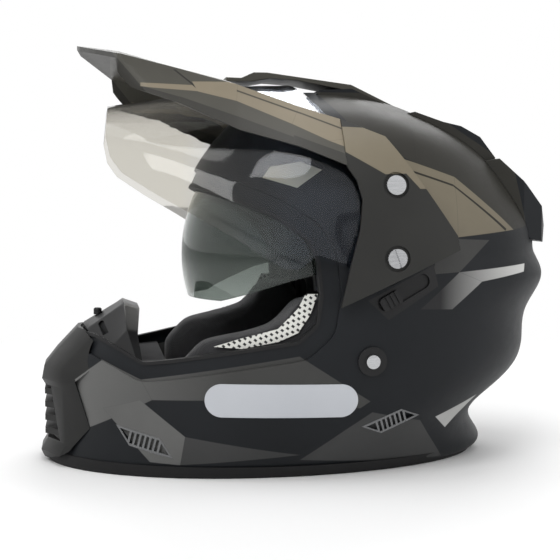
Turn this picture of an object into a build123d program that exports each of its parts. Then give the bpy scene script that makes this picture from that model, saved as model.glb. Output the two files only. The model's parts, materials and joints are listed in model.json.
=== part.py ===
from build123d import *
import os
from math import cos, pi, sin

os.makedirs("parts", exist_ok=True)

# A dual sport helmet: a full face shell with a long peak, a clear face shield that
# swings up under the peak, and a smoked sun visor inside. Millimetres.
# The face looks towards -X, the wearer's left side is -Y, +Z is up, and the
# base trim stands on Z = 0.

# Driving sizes of the shell
SHELL_HEIGHT = 267.0
SHELL_WIDTH = 242.0
CHIN_REACH = 181.0
BACK_REACH = 182.0
SHELL_WALL = 4.5
SHELL_CENTRE_BACK = 30.0
SHELL_CENTRE_HEIGHT = 120.0
SHELL_BASE = 2.5

# Clearances shared by every fit
RUNNING_GAP = 0.35
SEAT_GAP = 0.3
OVERRUN = 6.0
REACH = 260.0

# Levels of the outer skin from below the base to the crown, as shares of the
# height, chin reach, back reach, half width, and back reach for the widest place
SHELL_LEVEL_SHARES = [
    (-0.150, 0.985, 0.700, 0.730, -0.19),
    (0.000, 1.010, 0.735, 0.785, -0.19),
    (0.052, 0.995, 0.775, 0.860, -0.11),
    (0.112, 0.970, 0.730, 0.925, 0.00),
    (0.225, 0.985, 0.885, 0.984, 0.14),
    (0.300, 0.950, 0.950, 0.996, 0.18),
    (0.434, 0.785, 0.990, 1.000, 0.22),
    (0.562, 0.620, 1.000, 0.995, 0.24),
    (0.655, 0.490, 0.975, 0.970, 0.25),
    (0.768, 0.430, 0.860, 0.876, 0.25),
    (0.843, 0.365, 0.750, 0.785, 0.24),
    (0.900, 0.295, 0.620, 0.680, 0.20),
    (0.944, 0.220, 0.490, 0.530, 0.17),
    (0.978, 0.120, 0.350, 0.360, 0.13),
    (1.000, 0.020, 0.160, 0.140, 0.07),
]

# Eyeport, seen from the side
EYEPORT_FROM = -200.0
EYEPORT_LENGTH = 200.0
EYEPORT_LOW = 76.5
EYEPORT_HEIGHT = 130.5
EYEPORT_CORNER = 9.0
EYEPORT_SHARES = [
    (0, 0.119), (0.25, 0.119), (0.34, 0.057), (0.41, 0), (0.5, 0.019), (0.695, 0.069),
    (0.92, 0.126), (0.985, 0.218), (1, 0.372), (0.99, 0.556), (0.96, 0.663),
    (0.855, 0.784), (0.73, 0.87), (0.61, 0.946), (0.5, 1), (0, 1),
]
SHIELD_SEAT_WIDTH = 11.0
SHIELD_SEAT_DEPTH = 2.0

# Face shield: the axis of its hubs, how far it stands open, and its closed form
SHIELD_AXIS_BACK = 39.0
SHIELD_AXIS_HEIGHT = 150.0
SHIELD_OPEN_ANGLE = 45.0
SHIELD_WALL = 2.4
SHIELD_HALF_WIDTH = 123.9
SHIELD_WIDEST_BACK = 10.0
SHIELD_TAIL_BACK = 75.0
SHIELD_BASE_REACH = 164.0
SHIELD_BASE_HEIGHT = 97.0
# Height, forward reach and half width of each level, as shares of the three above
SHIELD_LEVEL_SHARES = [
    (0.567, 1.195, 0.955),
    (1.000, 1.000, 0.996),
    (1.278, 0.878, 1.000),
    (1.546, 0.765, 1.000),
    (1.753, 0.677, 0.998),
    (1.959, 0.576, 0.860),
    (2.186, 0.457, 0.780),
]
SHIELD_FROM = -190.0
SHIELD_LENGTH = 248.0
SHIELD_LOW = 70.0
SHIELD_HEIGHT = 134.5
SHIELD_CORNER = 3.0
SHIELD_SHARES = [
    (0, 0.372), (0.101, 0.245), (0.121, 0.2), (0.177, 0.075), (0.226, 0.015), (0.278, 0),
    (0.383, 0.041), (0.496, 0.097), (0.609, 0.149), (0.746, 0.208), (0.782, 0.26),
    (0.786, 0.372), (0.855, 0.439), (0.923, 0.439), (1, 0.595), (0.923, 0.751),
    (0.815, 0.796), (0.685, 0.877), (0.565, 0.948), (0.427, 1), (0, 1),
]
HUB_RADIUS = 12.0
HUB_SEAT_DEPTH = 1.6
HUB_SEAT_RADIUS = 19.0
EAR_RADIUS = 23.0
HUB_FOOT = 1.1

# Sun visor: the axis of its pins and its bowed lens
LENS_AXIS_BACK = 25.0
LENS_AXIS_HEIGHT = 148.0
LENS_RADIUS = 110.0
LENS_BOW = 102.0
LENS_HALF_WIDTH = 93.0
LENS_WALL = 2.0
LENS_FROM = -120.0
LENS_LENGTH = 158.0
LENS_LOW = 117.5
LENS_HEIGHT = 142.5
LENS_SHARES = [
    (0, 0), (0.367, 0), (0.633, 0.109), (0.835, 0.165), (0.918, 0.13), (1, 0.214),
    (0.918, 0.298), (0.506, 1), (0, 1),
]
LENS_ARM_WALL = 2.6
LENS_PIN_RADIUS = 4.0
LENS_SLOT_GAP = 3.0
LENS_SLOT_BACK = 33.0

# Head cavity and its soft lining
CAVITY_CENTRE_BACK = 32.0
CAVITY_CENTRE_HEIGHT = 130.0
CAVITY_HALF_LENGTH = 102.0
CAVITY_HALF_WIDTH = 76.0
CAVITY_HALF_HEIGHT = 100.0
# Height over the centre and size of each level, as shares of the half height and widths
CAVITY_LEVEL_SHARES = [
    (-1.36, 1.0), (0.0, 1.0), (0.25, 0.968), (0.45, 0.893), (0.62, 0.785), (0.77, 0.638),
    (0.89, 0.456), (0.97, 0.243), (1.0, 0.06),
]
LINING_THICKNESS = 8.0
LINING_LOW = 92.0
FOAM_LOW = 46.0
FOAM_HIGH = 259.0
FOAM_GAP = 1.0

# Peak: stations along the helmet with the height of the ridge, the shoulder and
# the lower edge of the skirt
PEAK_TIP_REACH = 160.3
PEAK_HEIGHT = 300.0
PEAK_WALL = 3.0
PEAK_SHOULDER = 80.0
# Place back, ridge height, shoulder out, shoulder height, edge out, edge height,
# as shares of the tip reach, the peak height and the shoulder
PEAK_STATION_SHARES = [
    (-1.030, 1.0015, 0.990, 0.965, 1.040, 0.905),
    (-0.817, 0.9900, 1.000, 0.953, 1.070, 0.885),
    (-0.580, 0.9560, 1.025, 0.922, 1.165, 0.842),
    (-0.337, 0.9255, 1.050, 0.888, 1.305, 0.782),
]
ARM_STATION_SHARES = [
    (-0.337, 1.050, 0.888, 1.305, 0.782),
    (-0.100, 1.130, 0.842, 1.460, 0.745),
    (0.0873, 1.250, 0.809, 1.550, 0.704),
]
# Front edge in plan, as shares of the tip reach and the shoulder
PEAK_PLAN_SHARES = [
    (-1.0, 0.0), (-0.985, 0.2), (-0.831, 1.0), (-0.731, 1.09), (-0.2, 1.9), (0.3, 2.2), (0.3, 0.0),
]

# Side pods
POD_HALF_WIDTH = 132.0
POD_WALL = 2.4
POD_RIM = 5.0
POD_FRONT_REACH = 200.0
POD_BACK_REACH = 190.0
POD_WIDEST_BACK = 50.0
POD_CENTRE_HEIGHT = 150.0
# Height and half width as shares of the two above
POD_LEVEL_SHARES = [
    (0.60, 0.968), (0.773, 0.985), (1.0, 1.0), (1.167, 0.989), (1.333, 0.963),
    (1.433, 0.928), (1.52, 0.872), (1.65, 0.750),
]
POD_FROM = 9.5
POD_LENGTH = 80.1
POD_LOW = 118.0
POD_HEIGHT = 124.5
POD_SHARES = [
    (0.056, 1), (0.403, 0.906), (0.978, 0.376), (1, 0.302), (0, 0), (0.076, 0.229),
    (0.15, 0.41), (0.174, 0.568), (0.131, 0.672), (0.056, 0.743),
]
SCREW_BACK = 46.0
SCREW_UPPER_HEIGHT = 198.4
SCREW_LOWER_HEIGHT = 150.3
SCREW_HEAD_RADIUS = 6.4
SCREW_HEAD_HEIGHT = 2.4
SCREW_SHANK_RADIUS = 2.5
SCREW_RECESS_RADIUS = 8.6
SCREW_RECESS_DEPTH = 1.8
SCREW_SLOT_WIDTH = 1.6
SCREW_SLOT_SHARE = 0.99
SCREW_SLOT_TURN = 20.0
BOSS_RADIUS = 6.0

# Bridge over the crown, crown block, exhaust and tail
BRIDGE_FROM = -54.0
BRIDGE_LENGTH = 127.6
BRIDGE_LOW = 254.0
BRIDGE_HEIGHT = 27.0
BRIDGE_HALF_WIDTH = 22.0
BRIDGE_SHARES = [
    (0, 0.863), (0.086, 0.852), (0.16, 1), (0.235, 1), (0.726, 0.704), (1, 0.093),
    (0.972, 0), (0.705, 0.548), (0.408, 0.8), (0.251, 0.844), (0.157, 0.759), (0, 0.748),
]
CROWN_FROM = 8.0
CROWN_LENGTH = 66.0
CROWN_LOW = 240.0
CROWN_HEIGHT = 28.8
CROWN_HALF_WIDTH = 36.0
CROWN_SHARES = [(0, 0.764), (0.061, 0.955), (0.424, 1), (0.939, 0.486), (1, 0), (0, 0)]
EXHAUST_FROM = 71.0
EXHAUST_LENGTH = 70.0
EXHAUST_LOW = 206.0
EXHAUST_HEIGHT = 46.0
EXHAUST_HALF_WIDTH = 48.0
EXHAUST_SHARES = [
    (0, 0.957), (0.129, 1), (0.429, 0.848), (0.623, 0.783), (0.829, 0.615), (1, 0.283),
    (0.786, 0), (0.271, 0.435),
]
TAIL_FROM = 120.0
TAIL_LENGTH = 69.0
TAIL_LOW = 157.0
TAIL_HEIGHT = 61.5
TAIL_HALF_WIDTH = 62.0
TAIL_PLAN_SHARES = [(0, 0.8), (0.55, 1), (0.8, 0.85), (1, 0.35), (1, 0), (0, 0)]
TAIL_SHARES = [
    (0, 0.943), (0.306, 1), (0.604, 0.675), (1, 0.205), (0.908, 0), (0.655, 0.049), (0, 0.537),
]

# Mouth guard, its louvres and the nose piece
GUARD_FROM = -200.0
GUARD_LENGTH = 59.0
GUARD_LOW = 3.0
GUARD_HEIGHT = 100.0
GUARD_SHARES = [
    (0, 0.97), (0.712, 0.93), (1, 0.78), (0.61, 0.585), (0.78, 0.265), (0.525, 0.083),
    (0.271, 0), (0, 0),
]
GUARD_REACH = 187.5
GUARD_NOSE = 16.0
GUARD_CHEEK = 42.0
GUARD_JAW = 62.0
GUARD_CHEEK_BACK = 13.0
GUARD_JAW_BACK = 42.0
GUARD_BACK = 66.0
# Height and forward reach of each level, as shares of the guard height and reach
GUARD_LEVEL_SHARES = [
    (0.03, 0.996), (0.08, 1.008), (0.16, 0.982), (0.56, 0.990), (0.60, 1.002),
    (0.69, 0.993), (0.80, 0.946), (1.02, 0.835),
]
VENT_HALF_WIDTH = 34.0
VENT_LOW = 17.0
VENT_HIGH = 55.5
VENT_FLANK_ANGLE = 76.0
LOUVRE_COUNT = 4
LOUVRE_THICKNESS = 4.4
LOUVRE_TIP_REACH = 186.0
LOUVRE_TIP_HALF_WIDTH = 15.0
LOUVRE_ROOT_BACK = 16.0
MESH_WALL = 1.2
NOSE_HALF_WIDTH = 88.0
# Sections out from the middle: out, then five (back, height) corners
NOSE_REACH = 158.5
NOSE_HEIGHT = 116.0
NOSE_SECTION_SHARES = [
    (0.00, (0.999, 0.810), (0.995, 0.853), (0.818, 0.995), (0.745, 0.960), (0.760, 0.740)),
    (0.25, (0.985, 0.780), (0.981, 0.828), (0.812, 0.985), (0.742, 0.950), (0.755, 0.700)),
    (0.62, (0.915, 0.640), (0.900, 0.710), (0.805, 0.845), (0.760, 0.830), (0.765, 0.620)),
    (0.86, (0.810, 0.580), (0.800, 0.640), (0.770, 0.690), (0.745, 0.680), (0.745, 0.580)),
]
KNOB_RADIUS = 3.0
KNOB_HEIGHT = 5.0
KNOB_TRAVEL = 6.0
KNOB_REACH = 147.5
KNOB_BASE_HEIGHT = 104.2
KNOB_NECK_SHARE = 0.5
KNOB_CROWN_SHARE = 0.3
NOSE_SLOT_LENGTH = 26.0
NOSE_SLOT_RUN = (0.6, -0.3, -0.7)
NOSE_SLOT_FACING = (-0.5, -0.8, 0.35)
NOSE_SLOT_WIDTH = 4.5
NOSE_SLOT_DEPTH = 5.0
NOSE_SLOT_REACH = 141.0
NOSE_SLOT_OUT = 34.0
NOSE_SLOT_HEIGHT = 94.0

# Side grilles
FRONT_GRILLE_REACH = 117.5
FRONT_GRILLE_HEIGHT = 24.5
REAR_GRILLE_BACK = 48.0
REAR_GRILLE_HEIGHT = 39.0
GRILLE_LENGTH = 30.0
GRILLE_WIDTH = 11.5
GRILLE_SLANT = 12.0
FRONT_GRILLE_TILT = -14.0
REAR_GRILLE_TILT = 22.0
GRILLE_DEPTH = 2.2
GRILLE_FRAME = 1.6
RIB_COUNT = 8
RIB_THICKNESS = 1.4

# Reflective patches
PATCH_CENTRE_REACH = 27.7
PATCH_CENTRE_HEIGHT = 55.4
PATCH_LENGTH = 101.0
PATCH_WIDTH = 22.5
PATCH_WALL = 0.7

# Rubber trims
GASKET_LIP = 2.2
GASKET_WALL = 1.6
TRIM_HEIGHT = 8.5
TRIM_WALL = 1.6

# Cheek pads, neck roll and foam chin bar
PAD_FROM = -97.0
PAD_LENGTH = 117.0
PAD_LOW = 26.0
PAD_HEIGHT = 100.0
PAD_CORNER = 10.0
PAD_SHARES = [
    (0.009, 0), (0, 0.5), (0.146, 0.69), (0.334, 0.74), (0.555, 0.81), (0.71, 0.98),
    (0.95, 1), (1, 0.74), (1, 0),
]
PAD_INNER = 60.0
PAD_CROWN = 14.0
PAD_DEPTH = 9.0
# Depth behind the inner face and size of each section of the pad's crown
PAD_CROWN_SHARES = [(0.0, 0.74), (0.22, 0.9), (0.55, 0.98), (1.0, 1.0)]
STRIP_WALL = 1.2
STRIP_SHARES = [
    (0.224, 0.64), (0.38, 0.70), (0.582, 0.765), (0.694, 0.90), (0.739, 1.0), (0.806, 1.0),
    (0.762, 0.86), (0.694, 0.74), (0.582, 0.68), (0.38, 0.63),
]
ROLL_LOW = 15.0
ROLL_FRONT_BACK = 44.0
ROLL_THICKNESS = 24.0
ROLL_MOUTH_MIDDLE = -18.4
ROLL_MOUTH_REACH = 125.0
ROLL_MOUTH_HALF = 70.0
ROLL_MOUTH_TOP = 40.0
CHIN_FOAM_DEPTH = 24.0
CHIN_FOAM_REACH = 99.5
CHIN_FOAM_LOW = 16.0
CHIN_FOAM_HIGH = 73.0

# Sun visor slider on the left side
TRACK_FROM = 29.0
TRACK_LENGTH = 49.0
TRACK_LOW = 109.0
TRACK_HEIGHT = 36.5
TRACK_SHARES = [(0, 0.356), (0.286, 0), (1, 0.603), (0.929, 1)]
TRACK_DEPTH = 2.6
TRACK_TILT = 29.0
TRACK_CENTRE_BACK = 53.5
TRACK_CENTRE_HEIGHT = 127.2
TRACK_FLOOR = 1.0
TRACK_SURFACE = -119.9
SLIDER_LENGTH = 15.0
SLIDER_WIDTH = 9.0
SLIDER_HEIGHT = 4.2
SLIDER_CORNER = 2.2
SLIDER_TRAVEL = 22.0
SLOT_WIDTH = 10.0
SLOT_END_GAP = 1.35
TRACK_LEAN = 5.0
SLIDER_RIB_COUNT = 3
SLIDER_RIB_PITCH = 3.4
SLIDER_RIB_WIDTH = 1.4
SLIDER_RIB_DEPTH = 0.8

# Chin strap and its buckle
RIVET_BACK = 32.0
RIVET_HEIGHT = 81.6
RIVET_SHANK_RADIUS = 3.0
RIVET_HEAD_RADIUS = 4.6
RIVET_HEAD_HEIGHT = 2.4
RIVET_RING_RADIUS = 9.8
RIVET_RING_HEIGHT = 1.8
STRAP_WIDTH = 20.0
STRAP_WALL = 1.6
STRAP_BEND = 8.0
STRAP_LEVEL = 24.0
STRAP_END = 26.0
STRAP_OUT = 113.4
STRAP_TOP = 93.0
# Corners of a strap's run, out from the middle and up, as shares of its place at the rivet
STRAP_RUN_SHARES = [(1, 1), (1, 0.774), (0.973, 0.602), (0.899, 0.387)]
STRAP_TURN_SHARE = 0.776
# Steps of the slot that takes the strap through the foam, as shares of the same
STRAP_SLOT_SHARES = [(1, 1), (0.925, 0.66)]
STRAP_ROOM = 3.2
FLANGE_RADIUS = 6.0
FLANGE_WALL = 1.2
BUCKLE_FROM = -38.0
BUCKLE_LENGTH = 48.0
BUCKLE_WIDTH = 27.0
BUCKLE_HEIGHT = 7.0
BUCKLE_LOW = 20.0
BUCKLE_WALL = 1.8
BUCKLE_BLOCK = 14.0
TONGUE_FROM = -14.0
TONGUE_WIDTH = 16.0
TONGUE_WALL = 1.6
YOKE_FROM = 16.0
YOKE_WIDTH = 24.0
YOKE_HEIGHT = 5.6
LEVER_WALL = 1.8
LEVER_LENGTH = 31.0
LEVER_BACK = -19.0
LEVER_HEIGHT = 22.6
LEVER_EYE_RADIUS = 2.4
LEVER_PIN_RADIUS = 1.4
LEVER_PIN_GAP = 0.1
LEVER_GRIP_COUNT = 3
LEVER_GRIP_PITCH = 2.6
LEVER_GRIP_DEPTH = 0.6


def outline(shares, start, length, low, height):
    """Side view points of an outline given in shares of its own box."""
    return [(start + length * along, low + height * up) for along, up in shares]


def nested(depth):
    """Scale of the skin that lies so deep under the outer skin at its widest."""
    return 1 - depth / (SHELL_WIDTH / 2)


def skin(depth):
    """Solid hull under the outer skin at a depth, or over it where negative."""
    scale = nested(depth)
    with BuildPart() as body:
        for height, front, back, half, widest in SHELL_LEVEL_SHARES:
            level = SHELL_CENTRE_HEIGHT + (SHELL_HEIGHT * height - SHELL_CENTRE_HEIGHT) * scale
            middle = SHELL_CENTRE_BACK + (BACK_REACH * widest - SHELL_CENTRE_BACK) * scale
            nose = (CHIN_REACH * front + BACK_REACH * widest) * scale
            nape = BACK_REACH * (back - widest) * scale
            flank = SHELL_WIDTH / 2 * half * scale
            with BuildSketch(Plane.XY.offset(level)):
                with BuildLine():
                    EllipticalCenterArc((middle, 0), nape, flank, start_angle=-90, arc_size=180)
                    EllipticalCenterArc((middle, 0), nose, flank, start_angle=90, arc_size=180)
                make_face()
        loft()
    return body.part


def across(points, reach=REACH, corner=0.0, grow=0.0):
    """Prism right across the helmet through a side view outline."""
    with BuildPart() as prism:
        with BuildSketch(Plane.XZ):
            with BuildLine():
                if corner:
                    FilletPolyline(*points, radius=corner, close=True)
                else:
                    Polyline(*points, close=True)
            make_face()
            if grow:
                offset(amount=grow)
        extrude(amount=reach, both=True)
    return prism.part


def near(points, start, end, corner=0.0):
    """Prism on the left side only, between two distances out from the middle."""
    with BuildPart() as prism:
        with BuildSketch(Plane.XZ.offset(start)):
            with BuildLine():
                if corner:
                    FilletPolyline(*points, radius=corner, close=True)
                else:
                    Polyline(*points, close=True)
            make_face()
        extrude(amount=end - start)
    return prism.part


def upright(level, top):
    """Broad block between two heights."""
    with BuildPart() as block:
        with BuildSketch(Plane.XY.offset(level)):
            Rectangle(2 * REACH, 2 * REACH)
        extrude(amount=top - level)
    return block.part


def side_disc(back, height, radius, start, end):
    """Round bar along the helmet's width on the left side."""
    with BuildPart() as bar:
        with BuildSketch(Plane.XZ.offset(start)):
            with Locations((back, height)):
                Circle(radius)
        extrude(amount=end - start)
    return bar.part


HALF = SHELL_WIDTH / 2
OUTER = skin(0)
INNER = skin(SHELL_WALL)
EYEPORT_POINTS = outline(EYEPORT_SHARES, EYEPORT_FROM, EYEPORT_LENGTH, EYEPORT_LOW, EYEPORT_HEIGHT)
EYEPORT = across(EYEPORT_POINTS, corner=EYEPORT_CORNER)
SEAT_FLOOR = skin(SHIELD_SEAT_DEPTH)
SHIELD_SEAT = across(EYEPORT_POINTS, corner=EYEPORT_CORNER, grow=SHIELD_SEAT_WIDTH)
POD_POINTS = outline(POD_SHARES, POD_FROM, POD_LENGTH, POD_LOW, POD_HEIGHT)
TRACK_POINTS = outline(TRACK_SHARES, TRACK_FROM, TRACK_LENGTH, TRACK_LOW, TRACK_HEIGHT)
HUB_SEAT = HALF - HUB_SEAT_DEPTH


def grille_plane(reach, height, tilt):
    """Side plane with its X axis along a grille."""
    return Plane(origin=(reach, 0, height), x_dir=(cos(tilt * pi / 180), 0, sin(tilt * pi / 180)),
                 z_dir=(0, -1, 0))


def grille_prism(plane, inset):
    """Slanted bay of a grille, on the left side, drawn in by an inset."""
    length = GRILLE_LENGTH / 2 - inset
    width = GRILLE_WIDTH / 2 - inset
    lean = GRILLE_SLANT / 2 * width / (GRILLE_WIDTH / 2)
    with BuildPart() as bay:
        with BuildSketch(plane):
            with BuildLine():
                Polyline((-length - lean, width), (length - lean, width),
                         (length + lean, -width), (-length + lean, -width), close=True)
            make_face()
        extrude(amount=REACH)
    return bay.part


FRONT_GRILLE = grille_plane(-FRONT_GRILLE_REACH, FRONT_GRILLE_HEIGHT, FRONT_GRILLE_TILT)
REAR_GRILLE = grille_plane(REAR_GRILLE_BACK, REAR_GRILLE_HEIGHT, REAR_GRILLE_TILT)

NOSE_SLOT_PLANE = Plane(origin=(-NOSE_SLOT_REACH, -NOSE_SLOT_OUT, NOSE_SLOT_HEIGHT),
                        x_dir=NOSE_SLOT_RUN, z_dir=NOSE_SLOT_FACING)
NOSE_SLOT_PLANE_RIGHT = Plane(origin=(-NOSE_SLOT_REACH, NOSE_SLOT_OUT, NOSE_SLOT_HEIGHT),
                              x_dir=(NOSE_SLOT_RUN[0], -NOSE_SLOT_RUN[1], NOSE_SLOT_RUN[2]),
                              z_dir=(NOSE_SLOT_FACING[0], -NOSE_SLOT_FACING[1], NOSE_SLOT_FACING[2]))

# Outer shell: open at the base, with the eyeport, the stepped seat of the shield,
# flats for the hubs, bays for the grilles and the slider, and the rivet bores
with BuildPart() as shell_cutters:
    with BuildSketch(Plane.XZ.offset(HUB_SEAT)):
        with Locations((SHIELD_AXIS_BACK, SHIELD_AXIS_HEIGHT)):
            Circle(HUB_SEAT_RADIUS)
    extrude(amount=REACH - HUB_SEAT)
    with BuildSketch(Plane.XZ):
        with Locations((RIVET_BACK, RIVET_HEIGHT)):
            Circle(RIVET_SHANK_RADIUS)
    extrude(amount=REACH)
    mirror(about=Plane.XZ)

GRILLE_SEAT = skin(GRILLE_DEPTH)
with BuildPart() as grille_bays:
    add(grille_prism(FRONT_GRILLE, 0))
    add(grille_prism(REAR_GRILLE, 0))
    mirror(about=Plane.XZ)
    add(GRILLE_SEAT, mode=Mode.SUBTRACT)

with BuildPart() as track_bay:
    add(near(TRACK_POINTS, CAVITY_HALF_WIDTH, REACH))
    add(skin(TRACK_DEPTH), mode=Mode.SUBTRACT)

with BuildPart() as seat_band:
    add(SHIELD_SEAT)
    add(SEAT_FLOOR, mode=Mode.SUBTRACT)

with BuildPart() as outer_shell:
    add(OUTER)
    add(upright(-REACH, SHELL_BASE), mode=Mode.SUBTRACT)
    add(INNER, mode=Mode.SUBTRACT)
    add(seat_band.part, mode=Mode.SUBTRACT)
    add(EYEPORT, mode=Mode.SUBTRACT)
    add(shell_cutters.part, mode=Mode.SUBTRACT)
    add(grille_bays.part, mode=Mode.SUBTRACT)
    add(track_bay.part, mode=Mode.SUBTRACT)

# Eyeport gasket: a rubber edging seated on the rim of the eyeport
with BuildPart() as eyeport_gasket:
    add(EYEPORT)
    add(across(EYEPORT_POINTS, corner=EYEPORT_CORNER, grow=-GASKET_LIP), mode=Mode.SUBTRACT)
    add(skin(SHIELD_SEAT_DEPTH - GASKET_WALL / 2), mode=Mode.INTERSECT)
    add(skin(SHELL_WALL + GASKET_WALL), mode=Mode.SUBTRACT)

# Base trim: a rubber edging round the lower rim, flat where the helmet stands
def rim_band(spread):
    """Band between the base plane and the trim's top, wider than the shell by a spread."""
    base_level = SHELL_LEVEL_SHARES[1]
    next_level = SHELL_LEVEL_SHARES[2]
    climb = TRIM_HEIGHT / (SHELL_HEIGHT * next_level[0])
    with BuildPart() as band:
        for level, lift in ((0, 0), (TRIM_HEIGHT, climb)):
            front, back, half, widest = (low + (high - low) * lift for low, high in
                                         zip(base_level[1:], next_level[1:]))
            middle = BACK_REACH * widest
            with BuildSketch(Plane.XY.offset(level)):
                with BuildLine():
                    EllipticalCenterArc((middle, 0), BACK_REACH * back - middle + spread,
                                        HALF * half + spread, start_angle=-90, arc_size=180)
                    EllipticalCenterArc((middle, 0), CHIN_REACH * front + middle + spread,
                                        HALF * half + spread, start_angle=90, arc_size=180)
                make_face()
        loft(ruled=True)
    return band.part


with BuildPart() as base_trim:
    add(rim_band(TRIM_WALL))
    add(rim_band(-SHELL_WALL - TRIM_WALL - TRIM_WALL), mode=Mode.SUBTRACT)
    add(outer_shell.part, mode=Mode.SUBTRACT)

# Mouth guard: a faceted moulding over the chin with a window for the louvres
with BuildPart() as guard_hull:
    for height, forward in GUARD_LEVEL_SHARES:
        nose = -GUARD_REACH * forward
        with BuildSketch(Plane.XY.offset(GUARD_HEIGHT * height)):
            with BuildLine():
                Polyline((nose, GUARD_NOSE), (nose + GUARD_CHEEK_BACK, GUARD_CHEEK),
                         (nose + GUARD_JAW_BACK, GUARD_JAW), (nose + GUARD_BACK, GUARD_JAW),
                         (nose + GUARD_BACK, -GUARD_JAW), (nose + GUARD_JAW_BACK, -GUARD_JAW),
                         (nose + GUARD_CHEEK_BACK, -GUARD_CHEEK), (nose, -GUARD_NOSE), close=True)
            make_face()
    loft(ruled=True)

with BuildPart() as vent_window:
    with BuildSketch(Plane.YZ.offset(-REACH)):
        with Locations((0, (VENT_LOW + VENT_HIGH) / 2)):
            Trapezoid(2 * VENT_HALF_WIDTH, VENT_HIGH - VENT_LOW, VENT_FLANK_ANGLE)
    extrude(amount=REACH)

with BuildPart() as mouth_guard:
    add(guard_hull.part)
    add(across(outline(GUARD_SHARES, GUARD_FROM, GUARD_LENGTH, GUARD_LOW, GUARD_HEIGHT)),
        mode=Mode.INTERSECT)
    add(skin(0), mode=Mode.SUBTRACT)
    add(vent_window.part, mode=Mode.SUBTRACT)
    add(base_trim.part, mode=Mode.SUBTRACT)

# Chin grille: louvre blades on a thin back plate, inside the guard's window
with BuildPart() as blade_stack:
    for row in range(LOUVRE_COUNT):
        level = VENT_LOW + (VENT_HIGH - VENT_LOW) * (2 * row + 1) / (2 * LOUVRE_COUNT)
        with BuildSketch(Plane.XY.offset(level - LOUVRE_THICKNESS / 2)):
            with BuildLine():
                Polyline((-LOUVRE_TIP_REACH, LOUVRE_TIP_HALF_WIDTH),
                         (-LOUVRE_TIP_REACH + LOUVRE_ROOT_BACK, VENT_HALF_WIDTH),
                         (-LOUVRE_TIP_REACH + GUARD_BACK, VENT_HALF_WIDTH),
                         (-LOUVRE_TIP_REACH + GUARD_BACK, -VENT_HALF_WIDTH),
                         (-LOUVRE_TIP_REACH + LOUVRE_ROOT_BACK, -VENT_HALF_WIDTH),
                         (-LOUVRE_TIP_REACH, -LOUVRE_TIP_HALF_WIDTH), close=True)
            make_face()
        extrude(amount=LOUVRE_THICKNESS)

with BuildPart() as chin_grille:
    add(skin(-MESH_WALL))
    add(blade_stack.part)
    add(vent_window.part, mode=Mode.INTERSECT)
    add(skin(0), mode=Mode.SUBTRACT)

# Nose piece: a breath deflector that rises over the middle of the chin bar
with BuildPart() as nose_half:
    for out, *corners in NOSE_SECTION_SHARES:
        with BuildSketch(Plane.XZ.offset(NOSE_HALF_WIDTH * out)):
            with BuildLine():
                Polyline(*[(-NOSE_REACH * back, NOSE_HEIGHT * up) for back, up in corners], close=True)
            make_face()
    loft(ruled=True)
    mirror(about=Plane.XZ)

# Chin vent knob: rides across the nose piece in a slot, with a foot that holds it in
KNOB_SINK = KNOB_HEIGHT
with BuildPart() as knob_slot:
    with BuildSketch(Plane.XY.offset(KNOB_BASE_HEIGHT - KNOB_SINK)):
        with Locations((-KNOB_REACH, 0)):
            Rectangle(2 * KNOB_RADIUS * KNOB_NECK_SHARE + 2 * RUNNING_GAP,
                      KNOB_TRAVEL + 2 * KNOB_RADIUS)
    extrude(amount=REACH)
    with BuildSketch(Plane.XY.offset(KNOB_BASE_HEIGHT - RUNNING_GAP)):
        with Locations((-KNOB_REACH, 0)):
            Rectangle(2 * KNOB_RADIUS + 2 * RUNNING_GAP,
                      KNOB_TRAVEL + 2 * KNOB_RADIUS + 2 * RUNNING_GAP)
    extrude(amount=REACH)

with BuildPart() as nose_piece:
    add(nose_half.part)
    add(across(EYEPORT_POINTS, corner=EYEPORT_CORNER, grow=-GASKET_LIP), mode=Mode.INTERSECT)
    add(OUTER, mode=Mode.INTERSECT)
    add(knob_slot.part, mode=Mode.SUBTRACT)
    for plane in (NOSE_SLOT_PLANE, NOSE_SLOT_PLANE_RIGHT):
        with BuildSketch(plane):
            SlotOverall(NOSE_SLOT_LENGTH, NOSE_SLOT_WIDTH)
        extrude(amount=NOSE_SLOT_DEPTH, both=True, mode=Mode.SUBTRACT)

# Knob of the chin vent, with its neck in the slot and a foot under it
with BuildPart() as chin_vent_knob:
    with BuildSketch(Plane.XY.offset(KNOB_BASE_HEIGHT)):
        with Locations((-KNOB_REACH, 0)):
            Circle(KNOB_RADIUS)
    extrude(amount=KNOB_HEIGHT)
    fillet(chin_vent_knob.faces().sort_by(Axis.Z)[-1].edges(), KNOB_HEIGHT * KNOB_CROWN_SHARE)
    with BuildSketch(Plane.XY.offset(KNOB_BASE_HEIGHT - KNOB_SINK)):
        with Locations((-KNOB_REACH, 0)):
            Circle(KNOB_RADIUS * KNOB_NECK_SHARE)
    extrude(amount=KNOB_SINK)

# Face shield: modelled closed, then swung open about its hubs
def shield_hull(inset):
    """Bowed hull of the shield, drawn in by an inset."""
    with BuildPart() as hull:
        for height, reach, half in SHIELD_LEVEL_SHARES:
            nose = SHIELD_BASE_REACH * reach + SHIELD_WIDEST_BACK - inset
            flank = SHIELD_HALF_WIDTH * half - inset
            with BuildSketch(Plane.XY.offset(SHIELD_BASE_HEIGHT * height)):
                with BuildLine():
                    EllipticalCenterArc((SHIELD_WIDEST_BACK, 0), nose, flank,
                                        start_angle=90, arc_size=180)
                    Polyline((SHIELD_WIDEST_BACK, -flank), (SHIELD_TAIL_BACK, -flank),
                             (SHIELD_TAIL_BACK, flank), (SHIELD_WIDEST_BACK, flank))
                make_face()
        loft()
    return hull.part


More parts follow.
